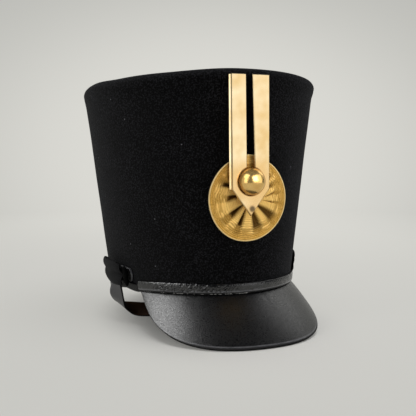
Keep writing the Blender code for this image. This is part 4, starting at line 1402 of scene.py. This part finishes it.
# %% [markdown]
# ## Table, backdrop and light
#
# The hat stands on white paper. In an oval round it the paper is lit by the
# lamps and takes the hat's soft shadow. Outside the oval it fades into a glow
# of one even tone, and a ring of the same tone stands all round, so that no
# horizon shows from any side. The ring lights nothing, and only its half behind
# the hat is mirrored. On the leather and in the brass mostly the lamps and the
# paper show, with the dark of the room between them.
#
# Cloth and leather want light from the sides and from behind, which is what
# gives the broad sheen on the visor. Brass is a mirror and wants other lamps:
# the badge has large soft ones, and the domed button two more, on its left and
# its right, whose bright patches stand apart on the dome. Light linking keeps
# each group of lamps to its own pieces. One lamp behind the hat is mirrored but
# casts no light, and the one overhead casts light but is never mirrored.

# %% The even glow
GLOW = "#DAD9D3"
GLOW_ASIDE = "#BCBCB7"
GLOW_FADES_FROM = 0.25              # metres from its middle
GLOW_FADES_OVER = 0.85
SPOT_AT = (0.43, 1.012, 0.15)       # its middle, on the ring behind the hat
DEPTH_COUNTS = 0.38                 # a metre towards the camera counts as this much
HEIGHT_COUNTS = 1.5                 # and a metre up as this much


def stage_piece(name, bm, finish):
    mesh = bpy.data.meshes.new(name)
    bm.to_mesh(mesh)
    bm.free()
    mesh.shade_smooth()
    mesh.materials.append(finish)
    item = bpy.data.objects.new(name, mesh)
    bpy.context.scene.collection.objects.link(item)
    return item


def spot_glow(tree):
    """An even glow that is brightest behind the hat and fades a little aside."""
    turned = add_node(tree, "ShaderNodeMapping",
                      {"Vector": add_node(tree, "ShaderNodeTexCoord").outputs["Object"],
                       "Location": SPOT_AT, "Rotation": (0, 0, CAMERA_YAW),
                       "Scale": (1, 1 / DEPTH_COUNTS, 1 / HEIGHT_COUNTS)}, vector_type="TEXTURE")
    spot = add_node(tree, "ShaderNodeVectorMath", {0: turned.outputs["Vector"]},
                    operation="LENGTH")
    fade = add_node(tree, "ShaderNodeMapRange",
                    {"Value": spot.outputs["Value"], "From Min": GLOW_FADES_FROM,
                     "From Max": GLOW_FADES_OVER}, interpolation_type="SMOOTHSTEP")
    tone = add_node(tree, "ShaderNodeMix",
                    {0: fade.outputs["Result"], 6: linear(GLOW), 7: linear(GLOW_ASIDE)},
                    data_type="RGBA")
    glow = add_node(tree, "ShaderNodeEmission", {"Color": tone.outputs[2]})
    return glow.outputs["Emission"]


print("the glow goes from", GLOW, "to", GLOW_ASIDE)

# %% Paper
PAPER_RADIUS = 1.1
PAPER_STEPS = 96
SHADE_AT = (0.0, -0.03, 0.0)        # middle of the oval that takes the hat's shadow
SHADE_HALF = (0.11, 0.175, 1.0)     # half its width, length and height
SHADE_REACH = 6.0                   # distances below are in this many such ovals
GLOW_SHARES = (
    # distance over SHADE_REACH, share of glow
    (0.08, 0.15),
    (0.18, 0.75),
    (0.9, 1.0),
)

PAPER, tree, shader = new_finish("paper_white", Roughness=0.9, Specular_IOR_Level=0.1,
                                 Base_Color=linear("#E8E7E3"))
shade = add_node(tree, "ShaderNodeMapping",
                 {"Vector": add_node(tree, "ShaderNodeTexCoord").outputs["Object"],
                  "Location": SHADE_AT, "Scale": [half * SHADE_REACH for half in SHADE_HALF]},
                 vector_type="TEXTURE")
distance = add_node(tree, "ShaderNodeVectorMath", {0: shade.outputs["Vector"]},
                    operation="LENGTH")
far_share = add_node(tree, "ShaderNodeValToRGB", {"Fac": distance.outputs["Value"]})
far_share.color_ramp.interpolation = "EASE"
for element, (at, share) in zip((far_share.color_ramp.elements[0],
                                 far_share.color_ramp.elements.new(GLOW_SHARES[1][0]),
                                 far_share.color_ramp.elements[-1]), GLOW_SHARES):
    element.position = at
    element.color = (share, share, share, 1)
blend = add_node(tree, "ShaderNodeMixShader",
                 {0: far_share.outputs["Color"], 1: shader.outputs["BSDF"],
                  2: spot_glow(tree)})
tree.links.new(blend.outputs["Shader"], tree.nodes["Material Output"].inputs["Surface"])
disc = bmesh.new()
bmesh.ops.create_circle(disc, cap_ends=True, segments=PAPER_STEPS, radius=PAPER_RADIUS)
stage_piece("paper", disc, PAPER)
print(f"paper: {2 * PAPER_RADIUS:.1f} m across")

# %% Ring
RING_HEIGHT = 1.6
RING_FLARE = 1.3                    # the ring is wider at its top
RING_STEPS = 48                     # in each half

RING_GLOW, tree, _ = new_finish("ring_glow")
tree.links.new(spot_glow(tree), tree.nodes["Material Output"].inputs["Surface"])
for half, start in (("front", math.pi), ("back", 0.0)):
    ring = bmesh.new()
    foot = ring.verts.new((PAPER_RADIUS, 0, 0))
    top = ring.verts.new((PAPER_RADIUS * RING_FLARE, 0, RING_HEIGHT))
    bmesh.ops.spin(ring, geom=[foot, top, ring.edges.new((foot, top))], cent=(0, 0, 0),
                   axis=(0, 0, 1), angle=math.pi, steps=RING_STEPS)
    bmesh.ops.rotate(ring, verts=ring.verts, cent=(0, 0, 0),
                     matrix=Matrix.Rotation(start, 3, "Z"))
    wall_half = stage_piece("ring_" + half, ring, RING_GLOW)
    wall_half.visible_diffuse = False
    wall_half.visible_glossy = half == "back"
    wall_half.visible_transmission = False
    wall_half.visible_shadow = False
print("ring:", 2 * RING_STEPS, "steps round")

# %% Lamps
SOFTBOXES = (
    # name, azimuth_deg, elevation_deg, distance, width, height, radiance, mirrored, casts, lights
    ("softbox_left", -76, 18, 1.4, 0.5, 1.2, 1.6, True, True, "cloth"),
    ("softbox_left_back", -114, 44, 1.3, 0.8, 0.8, 5.4, True, False, "cloth"),
    ("softbox_right", 33, 12, 1.4, 0.85, 1.3, 1.35, True, True, "cloth"),
    ("softbox_right_back", 100, 38, 1.3, 0.7, 0.9, 0.85, True, True, "cloth"),
    ("badge_box_left", -83, 25, 1.4, 1.05, 1.8, 2.1, True, True, "badge"),
    ("badge_box_right", 26, 20, 1.4, 2.4, 1.8, 1.4, True, True, "badge"),
    ("button_box_left", -83, 25, 1.4, 1.05, 1.8, 1.8, True, True, "button"),
    ("button_box_right", 4, 26, 1.4, 0.95, 1.0, 3.2, True, True, "button"),
    ("badge_box_back", 102, 35, 1.3, 0.6, 0.8, 1.0, True, True, "badge"),
    ("lamp_top", 30, 78, 1.7, 1.3, 1.3, 3.5, False, True, "all"),
)
BADGE_PIECES = ("cockade_gold_ribbon", "cockade_plate_brass", "plate_flange_brass_right",
                "plate_flange_brass_left", "button_brass")
LAMPS_AIM = Vector((0, 0, 0.12))

lit_by = {group: bpy.data.collections.new("lit_" + group)
          for group in ("badge", "button", "cloth")}
lit_by["button"].objects.link(button_piece)
for item in bpy.data.objects:
    if item.type == "MESH":
        lit_by["badge" if item.name in BADGE_PIECES else "cloth"].objects.link(item)
for (name, azimuth, elevation, distance, width, height, radiance, mirrored,
     casts, lights) in SOFTBOXES:
    lamp = bpy.data.lights.new(name, "AREA")
    lamp.shape = "RECTANGLE"
    lamp.size = width
    lamp.size_y = height
    lamp.energy = radiance * math.pi * width * height
    holder = bpy.data.objects.new(name, lamp)
    azimuth, elevation = math.radians(azimuth), math.radians(elevation)
    away = Vector((math.sin(azimuth) * math.cos(elevation),
                   -math.cos(azimuth) * math.cos(elevation), math.sin(elevation)))
    holder.matrix_world = (Matrix.Translation(LAMPS_AIM + away * distance)
                           @ away.to_track_quat("Z", "Y").to_matrix().to_4x4())
    holder.visible_glossy = mirrored
    holder.visible_diffuse = casts
    if lights in lit_by:
        holder.light_linking.receiver_collection = lit_by[lights]
    holder.visible_camera = False
    bpy.context.scene.collection.objects.link(holder)
    print(f"{name}: {lamp.energy:.1f} W")

# %% The room's own dim light
ROOM_STRENGTH = 0.09

world = bpy.data.worlds.new("room")
world.use_nodes = True
background = world.node_tree.nodes["Background"]
background.inputs["Color"].default_value = linear("#B9BCC4")
background.inputs["Strength"].default_value = ROOM_STRENGTH
bpy.context.scene.world = world
bpy.context.scene.view_settings.view_transform = "Standard"
print("room light:", ROOM_STRENGTH)
